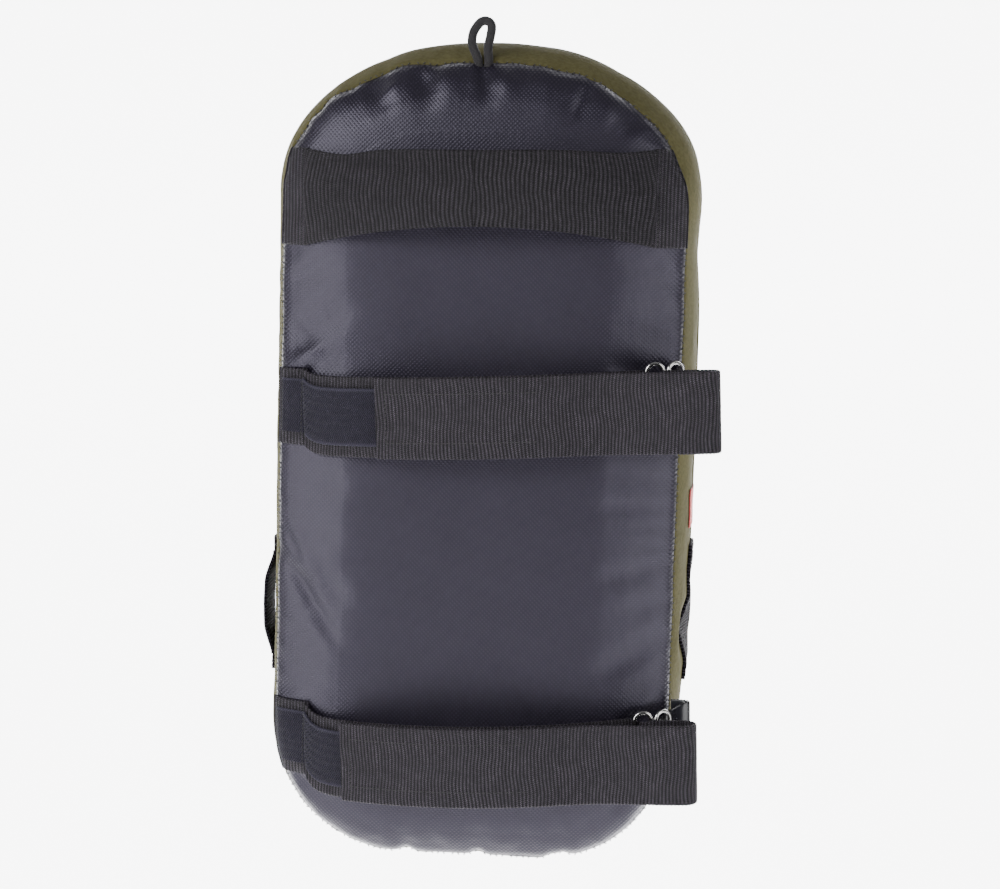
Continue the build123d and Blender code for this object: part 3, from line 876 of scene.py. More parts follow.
def puff_field():
    """Fills the pad with air between its pinned seams, and returns how far each point of it moves."""
    back = back_cover()[0][:, ::-1]
    front = front_cover()[0][:, 1:]
    whole = np.concatenate([back, wall_rings(WALL, 3.0, 21)[:, 1:], front], 1)[::FOAM_EVERY]
    caps = [fill(whole[:, 0]), fill(whole[:, -1])]
    points, faces = close_rings(whole, caps)
    pad = one_object("puff_pad", points, faces)
    remesh = pad.modifiers.new("remesh", "REMESH")
    remesh.mode = "VOXEL"
    remesh.voxel_size = PUFF_VOXEL * MM
    graph = bpy.context.evaluated_depsgraph_get()
    mesh = bpy.data.meshes.new_from_object(pad.evaluated_get(graph))
    bpy.data.objects.remove(pad)
    pad = bpy.data.objects.new("puff_pad", mesh)
    bpy.context.scene.collection.objects.link(pad)
    rest = np.array([v.co for v in mesh.vertices]) / MM
    seams = (np.abs(rest[:, 1]) < 4.5) | (np.abs(rest[:, 1] - WALL[-1][0]) < 4.5)
    pins = pad.vertex_groups.new(name="pins")
    pins.add(np.flatnonzero(seams).tolist(), 1.0, "REPLACE")
    cloth = pad.modifiers.new("cloth", "CLOTH")
    cloth.settings.vertex_group_mass = "pins"
    cloth.settings.use_pressure = True
    cloth.settings.uniform_pressure_force = 4.0
    cloth.settings.shrink_min = -0.012
    cloth.settings.effector_weights.gravity = 0.0
    cloth.point_cache.frame_start = 1
    cloth.point_cache.frame_end = PUFF_FRAMES
    scene = bpy.context.scene
    for number in range(1, PUFF_FRAMES + 1):
        scene.frame_set(number)
    graph = bpy.context.evaluated_depsgraph_get()
    filled = pad.evaluated_get(graph).data
    moved = np.array([v.co for v in filled.vertices]) / MM - rest
    scene.frame_set(1)
    bpy.data.objects.remove(pad)
    length = np.linalg.norm(moved, axis=1, keepdims=True)
    moved = moved * np.minimum(1, PUFF_CAP / np.maximum(length, 1e-6))
    tree = KDTree(len(rest))
    for number, point in enumerate(rest):
        tree.insert(point, number)
    tree.balance()
    return tree, moved


def close_rings(rings, caps):
    """Closes a run of rings with a filled grid at each end: (points, faces)."""
    count, columns = rings.shape[:2]
    index = ring_index(count, columns)
    points = [rings.reshape(-1, 3)]
    faces = [quads(index)]
    total = count * columns
    for cap, column in zip(caps, (0, -1)):
        inside = fill_index(count, 0)
        edge = np.ones(inside.shape, bool)
        edge[1:-1, 1:-1] = False
        inside[edge] = index[:-1, column][inside[edge]]
        inside[1:-1, 1:-1] += total
        points.append(cap[1:-1, 1:-1].reshape(-1, 3))
        total += len(points[-1])
        faces.append(quads(inside))
    return np.concatenate(points), np.concatenate(faces).tolist()


puff = puff_field()


def puffed(grid, share):
    """The grid with the filling's swell added."""
    if puff is None:
        return grid
    tree, moved = puff
    flat = grid.reshape(-1, 3)
    added = np.zeros_like(flat)
    for number, point in enumerate(flat):
        near = tree.find_n(point, 5)
        weights = np.array([1 / (distance + 1.5) for _, _, distance in near])
        added[number] = (moved[[index for _, index, _ in near]] * weights[:, None]).sum(0) / weights.sum()
    return (flat + added * share).reshape(grid.shape)


def make_pad():
    rings, middle = back_cover()
    rings, middle = puffed(rings, PANEL_PUFF), puffed(middle, PANEL_PUFF)
    cover = thick_cover("arm_panel", rings, middle, COVER, "black_vinyl")
    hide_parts("back_cover")
    wall = puffed(wall_rings(WALL, 1.6, 21), WALL_PUFF)
    gusset = thick_cover("side_wall", wall, None, COVER, "olive_vinyl")
    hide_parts("side_gusset")
    rings, middle = front_cover()
    rings, middle = puffed(rings, WALL_PUFF), puffed(middle, WALL_PUFF)
    strike = thick_cover("strike_panel", rings, middle, COVER, "olive_vinyl")
    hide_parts("front_cover")
    return wall


FOAM_INSET = 7.0


def foam_block(name, rings, slot, node):
    """A block of foam: rings closed by a filled grid at each end."""
    points, faces = close_rings(rings, [fill(rings[:, 0]), fill(rings[:, -1])])
    piece = make_object(name, points, faces, slot, "pad")
    face_outwards(piece)
    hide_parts(node)


def make_foams():
    """The three layers of foam, each well inside the covers."""
    insets = np.array([FOAM_INSET, FOAM_INSET + 3, FOAM_INSET + 10, RIM])
    heights = np.array([0.5, 2.0, 5.5, 8.5])
    plan = seam_points[:, None, :] - seam_normals[:, None, :] * insets[None, :, None]
    soft = np.stack([plan[..., 0], np.broadcast_to(-heights, plan.shape[:2]), plan[..., 1]], -1)
    foam_block("comfort_foam_sheet", soft[::FOAM_EVERY], "soft_foam", "comfort_foam")
    wall = wall_rings(WALL[2:], 4.0, 21, FOAM_INSET)
    foam_block("core_foam_block", wall[::FOAM_EVERY], "firm_foam", "core_foam")
    front = wall_rings(FRONT, 2.2, 41, FOAM_INSET)
    front[..., 1] = np.clip(front[..., 1], WALL[-1][0] + 1.0, STRIKE_DEPTH - FOAM_INSET)
    foam_block("strike_foam_sheet", front[::FOAM_EVERY, 1:], "firm_foam", "strike_foam")


wall_grid = make_pad()
make_foams()


def face_tree(name):
    """The faces of a piece, for finding where a straight line meets it."""
    mesh = bpy.data.objects[name].data
    return BVHTree.FromPolygons([v.co for v in mesh.vertices], [tuple(p.vertices) for p in mesh.polygons])


cover_tree = face_tree("arm_panel")
wall_tree = face_tree("side_wall")


def cover_y(x, z, lift=0.0):
    """The back cover's outer face at x, z, with lift towards the arm, in millimetres."""
    start = Vector(to_row((x, -80, z)))
    hit, _, _, _ = cover_tree.ray_cast(start, Vector((0, 1, 0)))
    y = hit.y / MM if hit else 0.0
    return min(y, 4.0) - lift


def wall_x(side, y, z, lift):
    """The wall's outer face at y, z on one side of the pad, with lift outwards, in millimetres."""
    start = Vector(to_row((side * 300, y, z)))
    hit, _, _, _ = wall_tree.ray_cast(start, Vector((-side, 0, 0)))
    return (hit.x - PAD_CENTRE[0]) / MM + side * lift


def edge_x(side, z):
    """Where the sewn line lies at each height z, on one side of the pad."""
    near = sewn_line[side * sewn_line[:, 0] > 30]
    near = near[np.argsort(near[:, 1])]
    return np.interp(z, near[:, 1], near[:, 0])


# --- Seams -----------------------------------------------------------------------------------------
SEAM_STITCH = 4.2
PIPING_RADIUS = 1.15
PIPING_TURNS = 12


def make_seams():
    """The black stitches over the back seam, and the piping of the front seam."""
    rows = []
    count = int(seam_length / SEAM_STITCH)
    for number in range(count):
        at = number / count * AROUND
        low = int(at) % AROUND
        point, out = sewn_line[low], seam_normals[low]
        along = np.array([-out[1], 0, out[0]])
        outward = np.array([out[0], 0, out[1]])
        lean = 1 if number % 2 else -1
        middle = np.array([point[0], 0, point[1]]) + outward * 0.15 + np.array([0, -0.2, 0])
        rows.append((middle, outward * 0.55 + along * 0.5 * lean + np.array([0, 0.55, 0]), 2.6))
    thread_row = stitches("back_seam_stitches", rows, "pad", 0.34)
    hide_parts("back_seam_thread")
    ring = wall_grid[:, -1]
    outward = np.stack([seam_normals[:, 0], np.zeros(AROUND), seam_normals[:, 1]], 1)
    angles = np.linspace(0, 2 * math.pi, PIPING_TURNS, endpoint=False)
    tube = ring[:, None, :] + outward[:, None, :] * (0.1 + PIPING_RADIUS * np.cos(angles))[None, :, None]
    tube[..., 1] += PIPING_RADIUS * np.sin(angles)[None, :]
    index = ring_index(AROUND, PIPING_TURNS)
    index = np.hstack([index, index[:, :1]])
    faces = quads(index).tolist()
    piping = make_object("front_seam_ridge", tube.reshape(-1, 3), faces, "olive_vinyl", "pad")
    face_outwards(piping)
    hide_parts("front_seam_piping")


make_seams()


# --- Webbing ---------------------------------------------------------------------------------------
WEBBING = 2.0
RIB_RISE = 0.24
SELVAGE_TOOTH = 0.22


def across_samples(count=15):
    """Positions across a strap, from -1 to 1, closer together at its edges."""
    inner = np.linspace(-0.94, 0.94, count)
    return np.concatenate([[-1, -0.985, -0.965], inner, [0.965, 0.985, 1]])


def edge_half(v, thickness):
    """Half the thickness at each position across, rounded off at the edges."""
    return thickness / 2 * np.where(np.abs(v) > 0.999, 0.3, np.where(np.abs(v) > 0.98, 0.8, 1.0))


def ribs(along, v, pitch, rise):
    """The height of the ribs: they run across, and shift by half a pitch at the selvages."""
    along = along if along.ndim == 2 else along[:, None]
    wave = np.cos(2 * math.pi * along / pitch) * np.ones_like(v)[None, :]
    edge = (np.abs(v) > 0.95)[None, :]
    return rise * np.where(edge, -0.7 * wave, wave)


def place_on_strap(x, y, z, strap):
    """Points laid out on a strap, as points on the pad."""
    turn = math.radians(strap["tilt"])
    across = x * math.cos(turn) - z * math.sin(turn)
    upright = strap["height"] + x * math.sin(turn) + z * math.cos(turn)
    return np.stack([across, y + 0 * z, upright], -1)


def wander(along, across):
    """How far each rib strays from straight: slow bends that differ along the webbing."""
    slow = np.sin(2 * math.pi * (across[None, :] / 46 + along[:, None] / 170))
    quick = np.sin(2 * math.pi * (across[None, :] / 17 - along[:, None] / 63))
    return 0.75 * slow + 0.16 * quick


def strap_sheet(name, path, width, thickness, strap, slot, body, rise=RIB_RISE, shift=None, taper=None):
    """Webbing along a path of (x, y) points on a strap, width across z."""
    v = across_samples()
    along = distances(path)[:, None] + wander(distances(path), v * width / 2)
    half_width = np.full(len(path), width / 2) if taper is None else taper
    z = v[None, :] * half_width[:, None]
    tooth = SELVAGE_TOOTH * np.cos(2 * math.pi * along / RIB_PITCH)
    z = z + tooth * (np.abs(v) > 0.99)[None, :] * np.sign(v)[None, :]
    if shift is not None:
        z = z + shift[:, None]
    x = np.broadcast_to(path[:, :1], z.shape)
    y = np.broadcast_to(path[:, 1:2], z.shape)
    mid = place_on_strap(x, y, z, strap)
    return finish_sheet(name, mid, along, v * width / 2, thickness, slot, body, RIB_PITCH, rise)


def finish_sheet(name, mid, along, across, thickness, slot, body, pitch, rise, towards=(0, -1, 0)):
    """Thickens a grid into webbing with ribs, and notes where each point lies on it."""
    v = across / np.abs(across).max()
    relief = ribs(along, v, pitch, rise) if rise else 0.0
    points, faces = sheet_grid(mid, edge_half(v, thickness)[None, :], towards, relief=relief)
    along = along if along.ndim == 2 else along[:, None]
    lie = np.stack(np.broadcast_arrays(along, across[None, :]), -1).reshape(-1, 2)
    piece = make_object(name, points, faces, slot, body, np.concatenate([lie, lie]))
    face_outwards(piece)
    return piece


def bow(start, end, rise):
    """The circle through two points (x, y) that bows towards the arm: centre and radius."""
    start, end = np.array(start, float), np.array(end, float)
    chord = end - start
    length = np.linalg.norm(chord)
    radius = ((length / 2) ** 2 + rise**2) / (2 * rise)
    outward = np.array([chord[1], -chord[0]]) / length
    centre = (start + end) / 2 - outward * (radius - rise)
    return centre, radius


def bow_point(circle, x, lift=0.0):
    centre, radius = circle
    turn = np.arcsin((np.asarray(x, float) - centre[0]) / radius)
    reach = radius + lift
    return np.stack([centre[0] + reach * np.sin(turn), centre[1] - reach * np.cos(turn)], -1)


# --- Forearm straps ----------------------------------------------------------------------------------
STRAP_WIDTH = 50.0
TAPE_WIDTH = 36.0
STRAP_BOW = 27.0
OVER_Y = -26.0
FOLD_RADIUS = 7.5
STRAPS = {
    "upper": dict(height=35.0, tilt=3.2, stitch=-108.0, root_lift=5.0, flap_end=-57.5, fold=142.5),
    "lower": dict(height=-182.0, tilt=2.7, stitch=-103.0, root_lift=9.5, flap_end=-75.0, fold=136.3),
}
RING_LIFT = 1.5
UNDER_RING = [(103.9, -20.9), (108.5, -20.9), (111.6, -23.6), (115.4, -25.8)]
FLAP_LIFT = 5.55
HOOK_LIFT = 3.85
STEP = 0.37


def strap_circle(strap):
    """The bow of the under-layer's middle surface."""
    root_y = cover_y(strap["stitch"], strap["height"], WEBBING / 2 + 0.4)
    return bow((strap["stitch"], root_y), (103.5, -20.5), STRAP_BOW)


def flat_patch(z, inner, side, lift, step=STEP, stand=1.0):
    """A grid that lies on the panel from x = inner out to the sewn line, and how far each point is
    along it."""
    ends = edge_x(side, z) + side * stand
    count = int(abs(ends.mean() - inner) / step)
    share = np.linspace(0, 1, count)[:, None]
    x = inner + share * (ends - inner)[None, :]
    grid = np.array([[(px, cover_y(px, pz, lift), pz) for px, pz in zip(row, z)] for row in x])
    return grid, np.abs(x - inner)


def root_middle(strap):
    return strap["height"] + strap["stitch"] * math.sin(math.radians(strap["tilt"])) + strap["root_lift"]


def make_root(name, strap):
    """The part sewn flat to the panel, from the stitch line to the seam, and the tape on it."""
    middle = root_middle(strap)
    z = middle + across_samples() * (STRAP_WIDTH / 2 - 1.0)
    mid, along = flat_patch(z, strap["stitch"] + 1.0, -1, WEBBING / 2 + 0.15)
    root = finish_sheet(
        f"{name}_strap_end", mid, along, z - middle, WEBBING, "webbing", "pad", RIB_PITCH, RIB_RISE
    )
    z = middle + 1.0 + across_samples() * TAPE_WIDTH / 2 * 0.93
    mid, along = flat_patch(z, strap["stitch"] + 0.4, -1, WEBBING + 0.9, 0.8, -2.0)
    pile = finish_sheet(
        f"{name}_root_pile", mid, along, z - middle, 1.3, "loop_pile", "pad", RIB_PITCH, 0.0
    )
    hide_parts(f"{name}_strap_root")
    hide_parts(f"{name}_loop_tape")


def make_strap(name, strap):
    fold_x, stitch = strap["fold"], strap["stitch"]
    circle = strap_circle(strap)
    body = f"{name}_flap"

    # The under-layer: over the arm space, down under the ring's bar, up through the ring to the fold.
    over = bow_point(circle, np.linspace(stitch, 102, 60))
    down = UNDER_RING + [(fold_x - 8, OVER_Y - 0.1), (fold_x - 0.5, OVER_Y)]
    path = evenly(np.vstack([over[:-1], curve(np.vstack([over[-1], down]), 0.5)]), STEP)
    notch = 1.9 * np.exp(-(((path[:, 0] - 110) / 5) ** 4))
    taper = STRAP_WIDTH / 2 - notch
    slip = strap["root_lift"] * np.exp(-(path[:, 0] - stitch) / 5.0)
    under = strap_sheet(
        f"{name}_under_strap", path, STRAP_WIDTH, WEBBING, strap, "webbing", "pad", shift=slip, taper=taper
    )
    make_root(name, strap)
    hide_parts(f"{name}_strap_root")

    tape_path = evenly(bow_point(circle, np.linspace(stitch + 1.0, 62, 80), WEBBING / 2 + 0.9), 0.8)
    slip = (strap["root_lift"] + 1.0) * np.exp(-(tape_path[:, 0] - stitch) / 5.0)
    pile = strap_sheet(
        f"{name}_loop_pile", tape_path, TAPE_WIDTH, 1.8, strap, "loop_pile", "pad", 0.0, slip
    )
    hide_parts(f"{name}_loop_tape")

    # The fold and the flap are one length that bends where the flap peels.
    angles = np.radians(np.linspace(90, -90, 40))
    nose_x = fold_x + FOLD_RADIUS * np.cos(angles)
    nose = np.stack([nose_x, OVER_Y - FOLD_RADIUS + FOLD_RADIUS * np.sin(angles)], 1)
    leave = bow_point(circle, 62, FLAP_LIFT)
    back = bow_point(circle, np.linspace(58, strap["flap_end"], 60), FLAP_LIFT)
    flat = curve([nose[-1], (fold_x - 14, OVER_Y - 15.1), (88, leave[1] + 3.6), leave, back[0]], 0.5)
    path = evenly(np.vstack([[(fold_x - 0.5, OVER_Y)], nose[:-1], flat[:-1], back]), STEP)
    flap = strap_sheet(f"{name}_flap_strap", path, STRAP_WIDTH, WEBBING, strap, "webbing", None)
    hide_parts(f"{name}_strap_flap", f"{name}_strap_fold")
    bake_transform(flap)

    hook_path = evenly(bow_point(circle, np.linspace(strap["flap_end"] + 4, 40, 60), HOOK_LIFT), 0.8)
    hook = strap_sheet(f"{name}_hook_pile", hook_path, TAPE_WIDTH, 1.4, strap, "hook_pile", body, 0.0)
    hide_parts(f"{name}_hook_tape")
    make_flap_stitches(name, strap, circle)
    make_root_stitches(name, strap)
    make_tab(name, strap)


STITCH_PITCH = 3.4
FLAP_ROW = 15.0
FLAP_END_ROW = 21.5
ROOT_ROW = 21.0


def make_flap_stitches(name, strap, circle):
    """Two rows along the hook tape's edges and a close row across the flap's end."""
    rows = []
    lift = FLAP_LIFT + WEBBING / 2 + 0.12
    for z in (-FLAP_ROW, FLAP_ROW):
        for x in np.arange(strap["flap_end"] + 7, 38, STITCH_PITCH):
            x_pair, y_pair = bow_point(circle, [x, x + 1.0], lift).T
            middle, end = place_on_strap(x_pair, y_pair, np.array([z, z]), strap)
            rows.append((middle, end - middle, 2.5))
    for z in np.arange(-FLAP_END_ROW, FLAP_END_ROW + 0.1, 2.6):
        point = bow_point(circle, strap["flap_end"] + 6.5, lift)
        middle = place_on_strap(*point, z, strap)
        rows.append((middle, (0.25, 0, 1), 2.0))
    row = stitches(f"{name}_flap_stitches", rows, f"{name}_flap")
    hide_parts(f"{name}_flap_thread")


def make_root_stitches(name, strap):
    rows = []
    x = strap["stitch"] - 2.0
    for z in root_middle(strap) + np.arange(-ROOT_ROW, ROOT_ROW + 0.1, 2.8):
        rows.append((np.array([x, cover_y(x, z, WEBBING + 1.7), z]), (0.1, 0, 1), 2.2))
    row = stitches(f"{name}_root_stitches", rows, "pad")
    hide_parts(f"{name}_root_thread")


# The tab's line from the rings' bars to the seam: the vinyl one stands out in a fold past the seam.
TAB_FOOT = {
    "upper": [(120.3, -18.2), (122.6, -15.6), (125.0, -12), (127.2, -7), (128.0, -1.4)],
    "lower": [
        (120.3, -18.2), (122.6, -13.2), (128.0, -9.8), (135.6, -9.0), (139.6, -6.2), (136.4, -2.6),
        (128.6, -1.0),
    ],
}


def make_tab(name, strap):
    """The tab: folded round both rings' bars, then down to the panel's edge and the seam."""
    gloss = name == "lower"
    bars = np.array([[116.6, -21.6], [119.5, -20.9]])
    half = 2.3
    run = (bars[1] - bars[0]) / np.linalg.norm(bars[1] - bars[0])
    side = np.array([-run[1], run[0]])
    turn = np.linspace(0, math.pi, 14)
    right = [bars[1] + half * (run * math.sin(a) - side * math.cos(a)) for a in turn]
    left = [bars[0] - half * (run * math.sin(a) - side * math.cos(a)) for a in turn]
    ring = np.array(right + left + right[:1])
    foot = curve(TAB_FOOT[name], STEP)
    slot = "gloss_vinyl" if gloss else "webbing"
    rise = 0.0 if gloss else RIB_RISE
    neck = 21.0
    wide = 31.0 if gloss else 25.0
    share = smooth((np.arange(len(foot)) / len(foot)) * 1.6)
    taper = neck + (wide - neck) * share
    at = dict(height=strap["height"] + RING_LIFT, tilt=strap["tilt"])
    base = strap_sheet(f"{name}_tab_foot", foot, 2 * wide, 1.8, at, slot, "pad", rise, taper=taper)
    eye = strap_sheet(f"{name}_tab_eye", evenly(ring, STEP), 2 * neck, 1.0, at, slot, "pad", rise * 0.5)
    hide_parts(f"{name}_ring_tab")
    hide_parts(f"{name}_ring_tab")


for strap_name, strap_values in STRAPS.items():
    make_strap(strap_name, strap_values)


# --- Grip band ---------------------------------------------------------------------------------------
GRIP_WIDTH = 60.0
GRIP_RISE = 13.0
GRIP = {"height": 167.5, "tilt": 1.3}
GRIP_ENDS = (-110.0, 106.5)
GRIP_BOW = 33.0
GRIP_RIB_RISE = 0.34
GRIP_ROW = 27.5
GRIP_CURL = 5.0
GRIP_ARCH = 2.2
# Dips of the top edge: (x, how far each reaches, depth).
GRIP_DIPS = ((-84, 18, 3.6), (84, 20, 2.0))


def make_grip():
    """The band in two halves that meet in the middle, each shaped with a curl at its own sewn end."""
    left, right = GRIP_ENDS
    ends = [(x, cover_y(x, GRIP["height"], WEBBING / 2 + 0.4)) for x in GRIP_ENDS]
    circle = bow(ends[0], ends[1], GRIP_BOW)
    centre_x = (left + right) / 2
    v = across_samples(19)
    for side, start, stop in (("left", left, centre_x), ("right", centre_x, right)):
        path = evenly(bow_point(circle, np.linspace(start, stop, 120)), GRIP_RIB_PITCH / 7)
        along = distances(path)
        reach = (path[:, 0] - centre_x) / (right - left) * 2
        rise = GRIP_RISE * (1 - reach**2)
        low = -GRIP_WIDTH / 2 + rise
        dip = sum(depth * np.exp(-(((path[:, 0] - at) / reach_x) ** 2)) for at, reach_x, depth in GRIP_DIPS)
        high = GRIP_WIDTH / 2 - 1.2 * (1 - reach**2) - dip
        z = low[:, None] + (high - low)[:, None] * (v[None, :] + 1) / 2
        edge_gap = 1 - np.abs(reach)
        hump = 1 - v[None, :] ** 2
        curl = GRIP_CURL * np.sign(reach) * np.exp(-edge_gap / 0.22) * smooth(edge_gap / 0.05)
        x = path[:, :1] + curl[:, None] * hump
        arch = GRIP_ARCH * hump * smooth(edge_gap / 0.3)[:, None]
        y = path[:, 1:2] - arch
        mid = place_on_strap(x, y, z, GRIP)
        across = v * GRIP_WIDTH / 2
        strayed = along[:, None] + wander(along, across)
        band = finish_sheet(
            f"grip_band_{side}", mid, strayed, across, WEBBING, "grip_webbing", None,
            GRIP_RIB_PITCH, GRIP_RIB_RISE
        )
        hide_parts("grip_band", f"grip_lead_{side}")
        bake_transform(band)
    make_grip_ends()


def make_grip_ends():
    """The flat patches out to the side seams, and the stitch lines."""
    rows = []
    for side, inner, node in ((-1, GRIP_ENDS[0], "left"), (1, GRIP_ENDS[1], "right")):
        middle = GRIP["height"] + inner * math.sin(math.radians(GRIP["tilt"]))
        z = middle + across_samples() * GRIP_WIDTH / 2
        mid, along = flat_patch(z, inner - side * 1.5, side, 0.85)
        patch = finish_sheet(
            f"grip_end_{node}", mid, along, z - middle, 1.3, "webbing", "pad", RIB_PITCH * 0.6, 0.08
        )
        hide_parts(f"grip_patch_{node}")
        lines = (2.0, 5.6) if side > 0 else (2.0,)
        for line in lines:
            px = inner + side * line
            for pz in middle + np.arange(-GRIP_ROW, GRIP_ROW + 0.5, 2.7):
                rows.append((np.array([px, cover_y(px, pz, 1.75), pz]), (0.12, 0, 1), 2.1))
    row = stitches("grip_stitches", rows, "pad")
    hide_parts("grip_thread")


make_grip()


# --- Side handles --------------------------------------------------------------------------------------
HANDLE_WIDTH = 30.0
HANDLE_DEPTH = 46.0
HANDLE_SPAN = 68.0
HANDLE_PATCH = 10.0
HANDLE_LEAD = 16.0
HANDLE_STAND = 2.0
HANDLE_REST = {-1: 1.8, 1: -2.7}
HANDLE_CURL = {-1: 0.0, 1: 1.0}
WALL_X = HALF_WIDTH + SWELL


def make_handles():
    for side, height in HANDLE_HEIGHTS.items():
        name = "left" if side < 0 else "right"
        ends = [wall_x(side, HANDLE_DEPTH, height + end * HANDLE_SPAN / 2, 1.2) for end in (-1, 1)]
        stand = WALL_X + WEBBING / 2 + HANDLE_REST[side] + HANDLE_STAND
        half = HANDLE_SPAN / 2
        v = across_samples(11)
        across = v * HANDLE_WIDTH / 2
        for end in (-1, 1):
            flat = abs(ends[max(end, 0)])
            line = [(flat, half), (flat + 0.3, half - 3), (stand - 0.8, half - HANDLE_LEAD)]
            line += [(stand, half - HANDLE_LEAD - 8), (stand + 0.3, 0)]
            path = curve(line, STEP)
            z = height + end * path[:, 1:2]
            low = [abs(wall_x(side, HANDLE_DEPTH - HANDLE_WIDTH / 2, row, 1.1)) for row in z[:, 0]]
            curled = HANDLE_CURL[side] * (path[:, 0] - np.array(low))[:, None]
            x = side * (path[:, :1] + curled * (v[None, :] - 1) / 2)
            z = np.broadcast_to(z, x.shape)
            y = HANDLE_DEPTH + np.broadcast_to(across, x.shape)
            part = "top" if end > 0 else "low"
            mid = np.stack([x, y, z], -1)
            piece = finish_sheet(
                f"{name}_handle_{part}", mid, distances(path), across, WEBBING, "shaded_handle_webbing", None,
                RIB_PITCH, RIB_RISE, (side, 0, 0)
            )
            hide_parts(f"{name}_handle", f"{name}_handle_leads")
            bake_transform(piece)
        make_handle_ends(name, side, height)


def make_handle_ends(name, side, height):
    """The sewn ends, each with a box of stitches."""
    points, faces, lies, rows = [], [], [], []
    v = across_samples(11)
    across = v * HANDLE_WIDTH / 2
    half = HANDLE_SPAN / 2
    near, far = half + 2.5, half + HANDLE_PATCH - 2.0
    for end in (-1, 1):
        z = height + end * np.arange(half - 0.2, half + HANDLE_PATCH, STEP)
        grid_z = np.broadcast_to(z[:, None], (len(z), len(v)))
        grid_y = np.broadcast_to(HANDLE_DEPTH + across, grid_z.shape)
        grid_x = [[wall_x(side, py, pz, 1.2) for py, pz in zip(*row)] for row in zip(grid_y, grid_z)]
        mid = np.stack([np.array(grid_x), grid_y, grid_z], -1)
        along = np.abs(z - height)
        relief = ribs(along, v, RIB_PITCH, RIB_RISE)
        added, sides = sheet_grid(mid, edge_half(v, WEBBING)[None, :], (side, 0, 0), relief)
        faces += (np.array(sides) + sum(len(p) for p in points)).tolist()
        points.append(added)
        lie = np.stack(np.broadcast_arrays(along[:, None], across[None, :]), -1).reshape(-1, 2)
        lies += [lie, lie]
        box = [(y, reach, (0, 1, 0.1)) for y in np.arange(-11.5, 11.6, 2.8) for reach in (near, far)]
        box += [(y, reach, (0, 0.1, 1)) for y in (-12.5, 12.5) for reach in np.arange(near, far, 2.8)]
        for y, reach, run in box:
            place = (HANDLE_DEPTH + y, height + end * reach)
            rows.append((np.array([wall_x(side, *place, 2.35), *place]), run, 2.2))
    points, lies = np.concatenate(points), np.concatenate(lies)
    piece = make_object(f"{name}_handle_ends", points, faces, "shaded_handle_webbing", "pad", lies)
    face_outwards(piece)
    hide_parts(f"{name}_handle_patches")
    stitches(f"{name}_handle_stitches", rows, "pad")


make_handles()


# --- Label ---------------------------------------------------------------------------------------------
LABEL_DEPTHS = (24.0, 52.0)
LABEL_HEIGHTS = (-38.0, -13.0)


def make_label():
    """A plain label on the right wall, which takes the wall's shape."""
    y = np.linspace(*LABEL_DEPTHS, 30)
    z = np.linspace(*LABEL_HEIGHTS, 30)
    mid = np.array([[(wall_x(1, depth, height, 0.7), depth, height) for height in z] for depth in y])
    across = z - z.mean()
    piece = finish_sheet("side_label_patch", mid, y, across, 0.8, "coral", "pad", 1.0, 0.0, (1, 0, 0))
    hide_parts("side_label")


make_label()


# --- Rings -----------------------------------------------------------------------------------------------
def finish_rings():
    for name in STRAPS:
        for side in ("left", "right"):
            node = frame["nodes"][f"{name}_ring_{side}"]
            node.data.materials.clear()
            node.data.materials.append(MATERIALS["wire"])
            node.data.shade_smooth()


# --- Studio ----------------------------------------------------------------------------------------------
FLOOR_Z = -1.15
BACK_Y = 1.6
GLOW = 6.0
GLOW_FLOOR = 0.4
WORLD_STRENGTH = 0.12


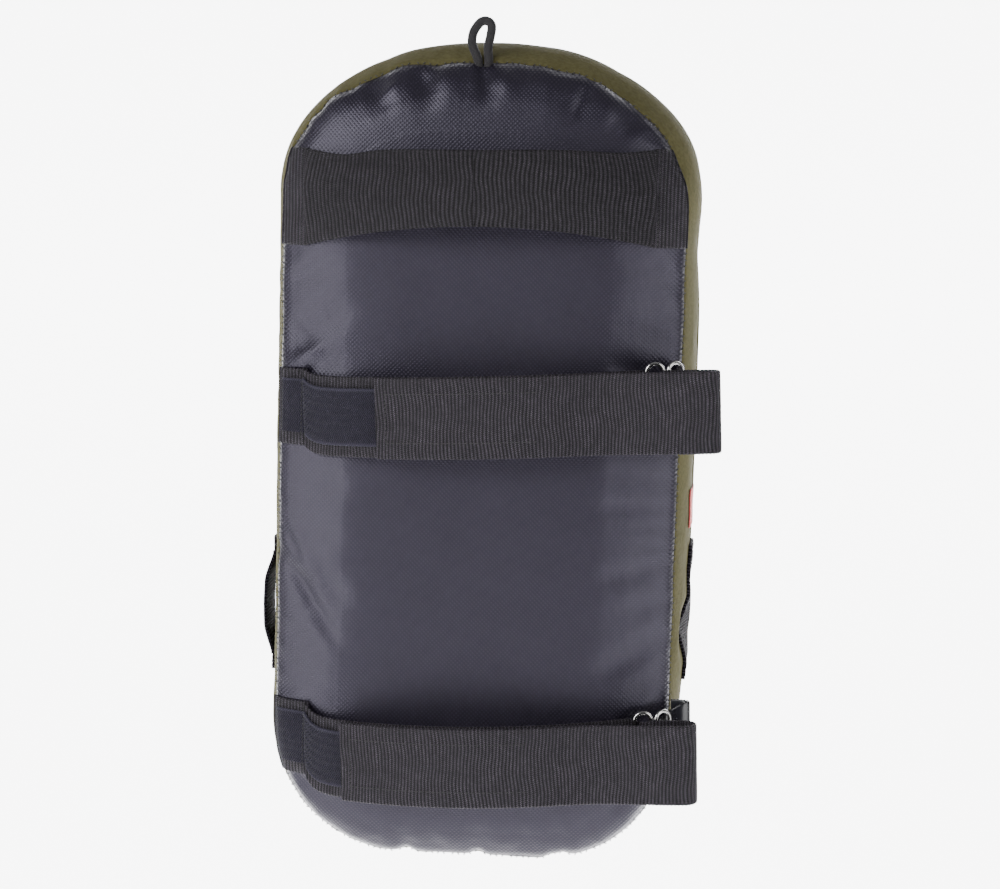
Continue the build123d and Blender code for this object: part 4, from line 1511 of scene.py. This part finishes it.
def make_studio():
    """A pale floor that sweeps up into a backdrop behind the strike side."""
    half = 5.0
    front = -6.0
    radius = 0.9
    turn = np.linspace(0, math.pi / 2, 24)
    profile = [(front, FLOOR_Z)]
    for angle in turn:
        along, up = radius * math.sin(angle), radius - radius * math.cos(angle)
        profile.append((BACK_Y - radius + along, FLOOR_Z + up))
    profile.append((BACK_Y, 4.0))
    points = [(x, y, z) for y, z in profile for x in (-half, half)]
    faces = [(2 * k, 2 * k + 1, 2 * k + 3, 2 * k + 2) for k in range(len(profile) - 1)]
    mesh = bpy.data.meshes.new("studio_sweep")
    mesh.from_pydata(points, [], faces)
    mesh.shade_smooth()
    finish = Finish("studio_paper", Roughness=0.9, Specular_IOR_Level=0.1)
    finish.colour(ink(246, 246, 248))
    finish.shader.inputs["Emission Color"].default_value = ink(255, 255, 255)
    place = finish.place()
    depth = finish.span(finish.axis(place, "Y"), 0.0, 900.0)
    aside = finish.span(finish.calc("ABSOLUTE", finish.axis(place, "X")), 900.0, 1900.0, 1.0, 0.0)
    above = finish.span(finish.axis(place, "Z"), 350.0, 1300.0, 1.0, 0.0)
    middle = finish.calc("MULTIPLY", aside, above)
    glow = finish.calc("MULTIPLY_ADD", finish.calc("MULTIPLY", depth, middle), GLOW, GLOW_FLOOR)
    finish.feed(finish.shader.inputs["Emission Strength"], glow)
    mesh.materials.append(finish.material)
    sweep = bpy.data.objects.new("studio_sweep", mesh)
    bpy.context.scene.collection.objects.link(sweep)


def area_light(name, place, aim, size, power):
    data = bpy.data.lights.new(name, "AREA")
    data.shape = "RECTANGLE"
    data.size, data.size_y = size
    data.energy = power
    light = bpy.data.objects.new(name, data)
    bpy.context.scene.collection.objects.link(light)
    light.location = place
    light.rotation_euler = (Vector(aim) - Vector(place)).to_track_quat("-Z", "Y").to_euler()


# Each light: name, place and size in metres, and power in watts.
LIGHTS = (
    ("key", (-0.75, -1.35, 0.6), (0.8, 0.7), 11),
    ("fill", (1.5, -1.4, 0.2), (0.9, 1.4), 2),
    ("left_side", (-1.3, -0.95, -0.1), (0.8, 2.0), 23),
    ("right_side", (1.3, -0.9, -0.2), (0.8, 2.0), 15),
    ("below", (0.0, -0.6, -1.1), (1.6, 0.7), 5),
    ("top", (0.1, -0.4, 1.5), (1.6, 0.8), 1),
)


def make_lights():
    middle = (float(PAD_CENTRE[0]), 0.0, float(PAD_CENTRE[2]))
    for name, place, size, power in LIGHTS:
        area_light(name, place, middle, size, power)
    world = bpy.data.worlds.new("studio")
    world.use_nodes = True
    background = world.node_tree.nodes["Background"]
    background.inputs["Color"].default_value = ink(238, 240, 244)
    background.inputs["Strength"].default_value = WORLD_STRENGTH
    bpy.context.scene.world = world


finish_rings()
make_studio()
make_lights()
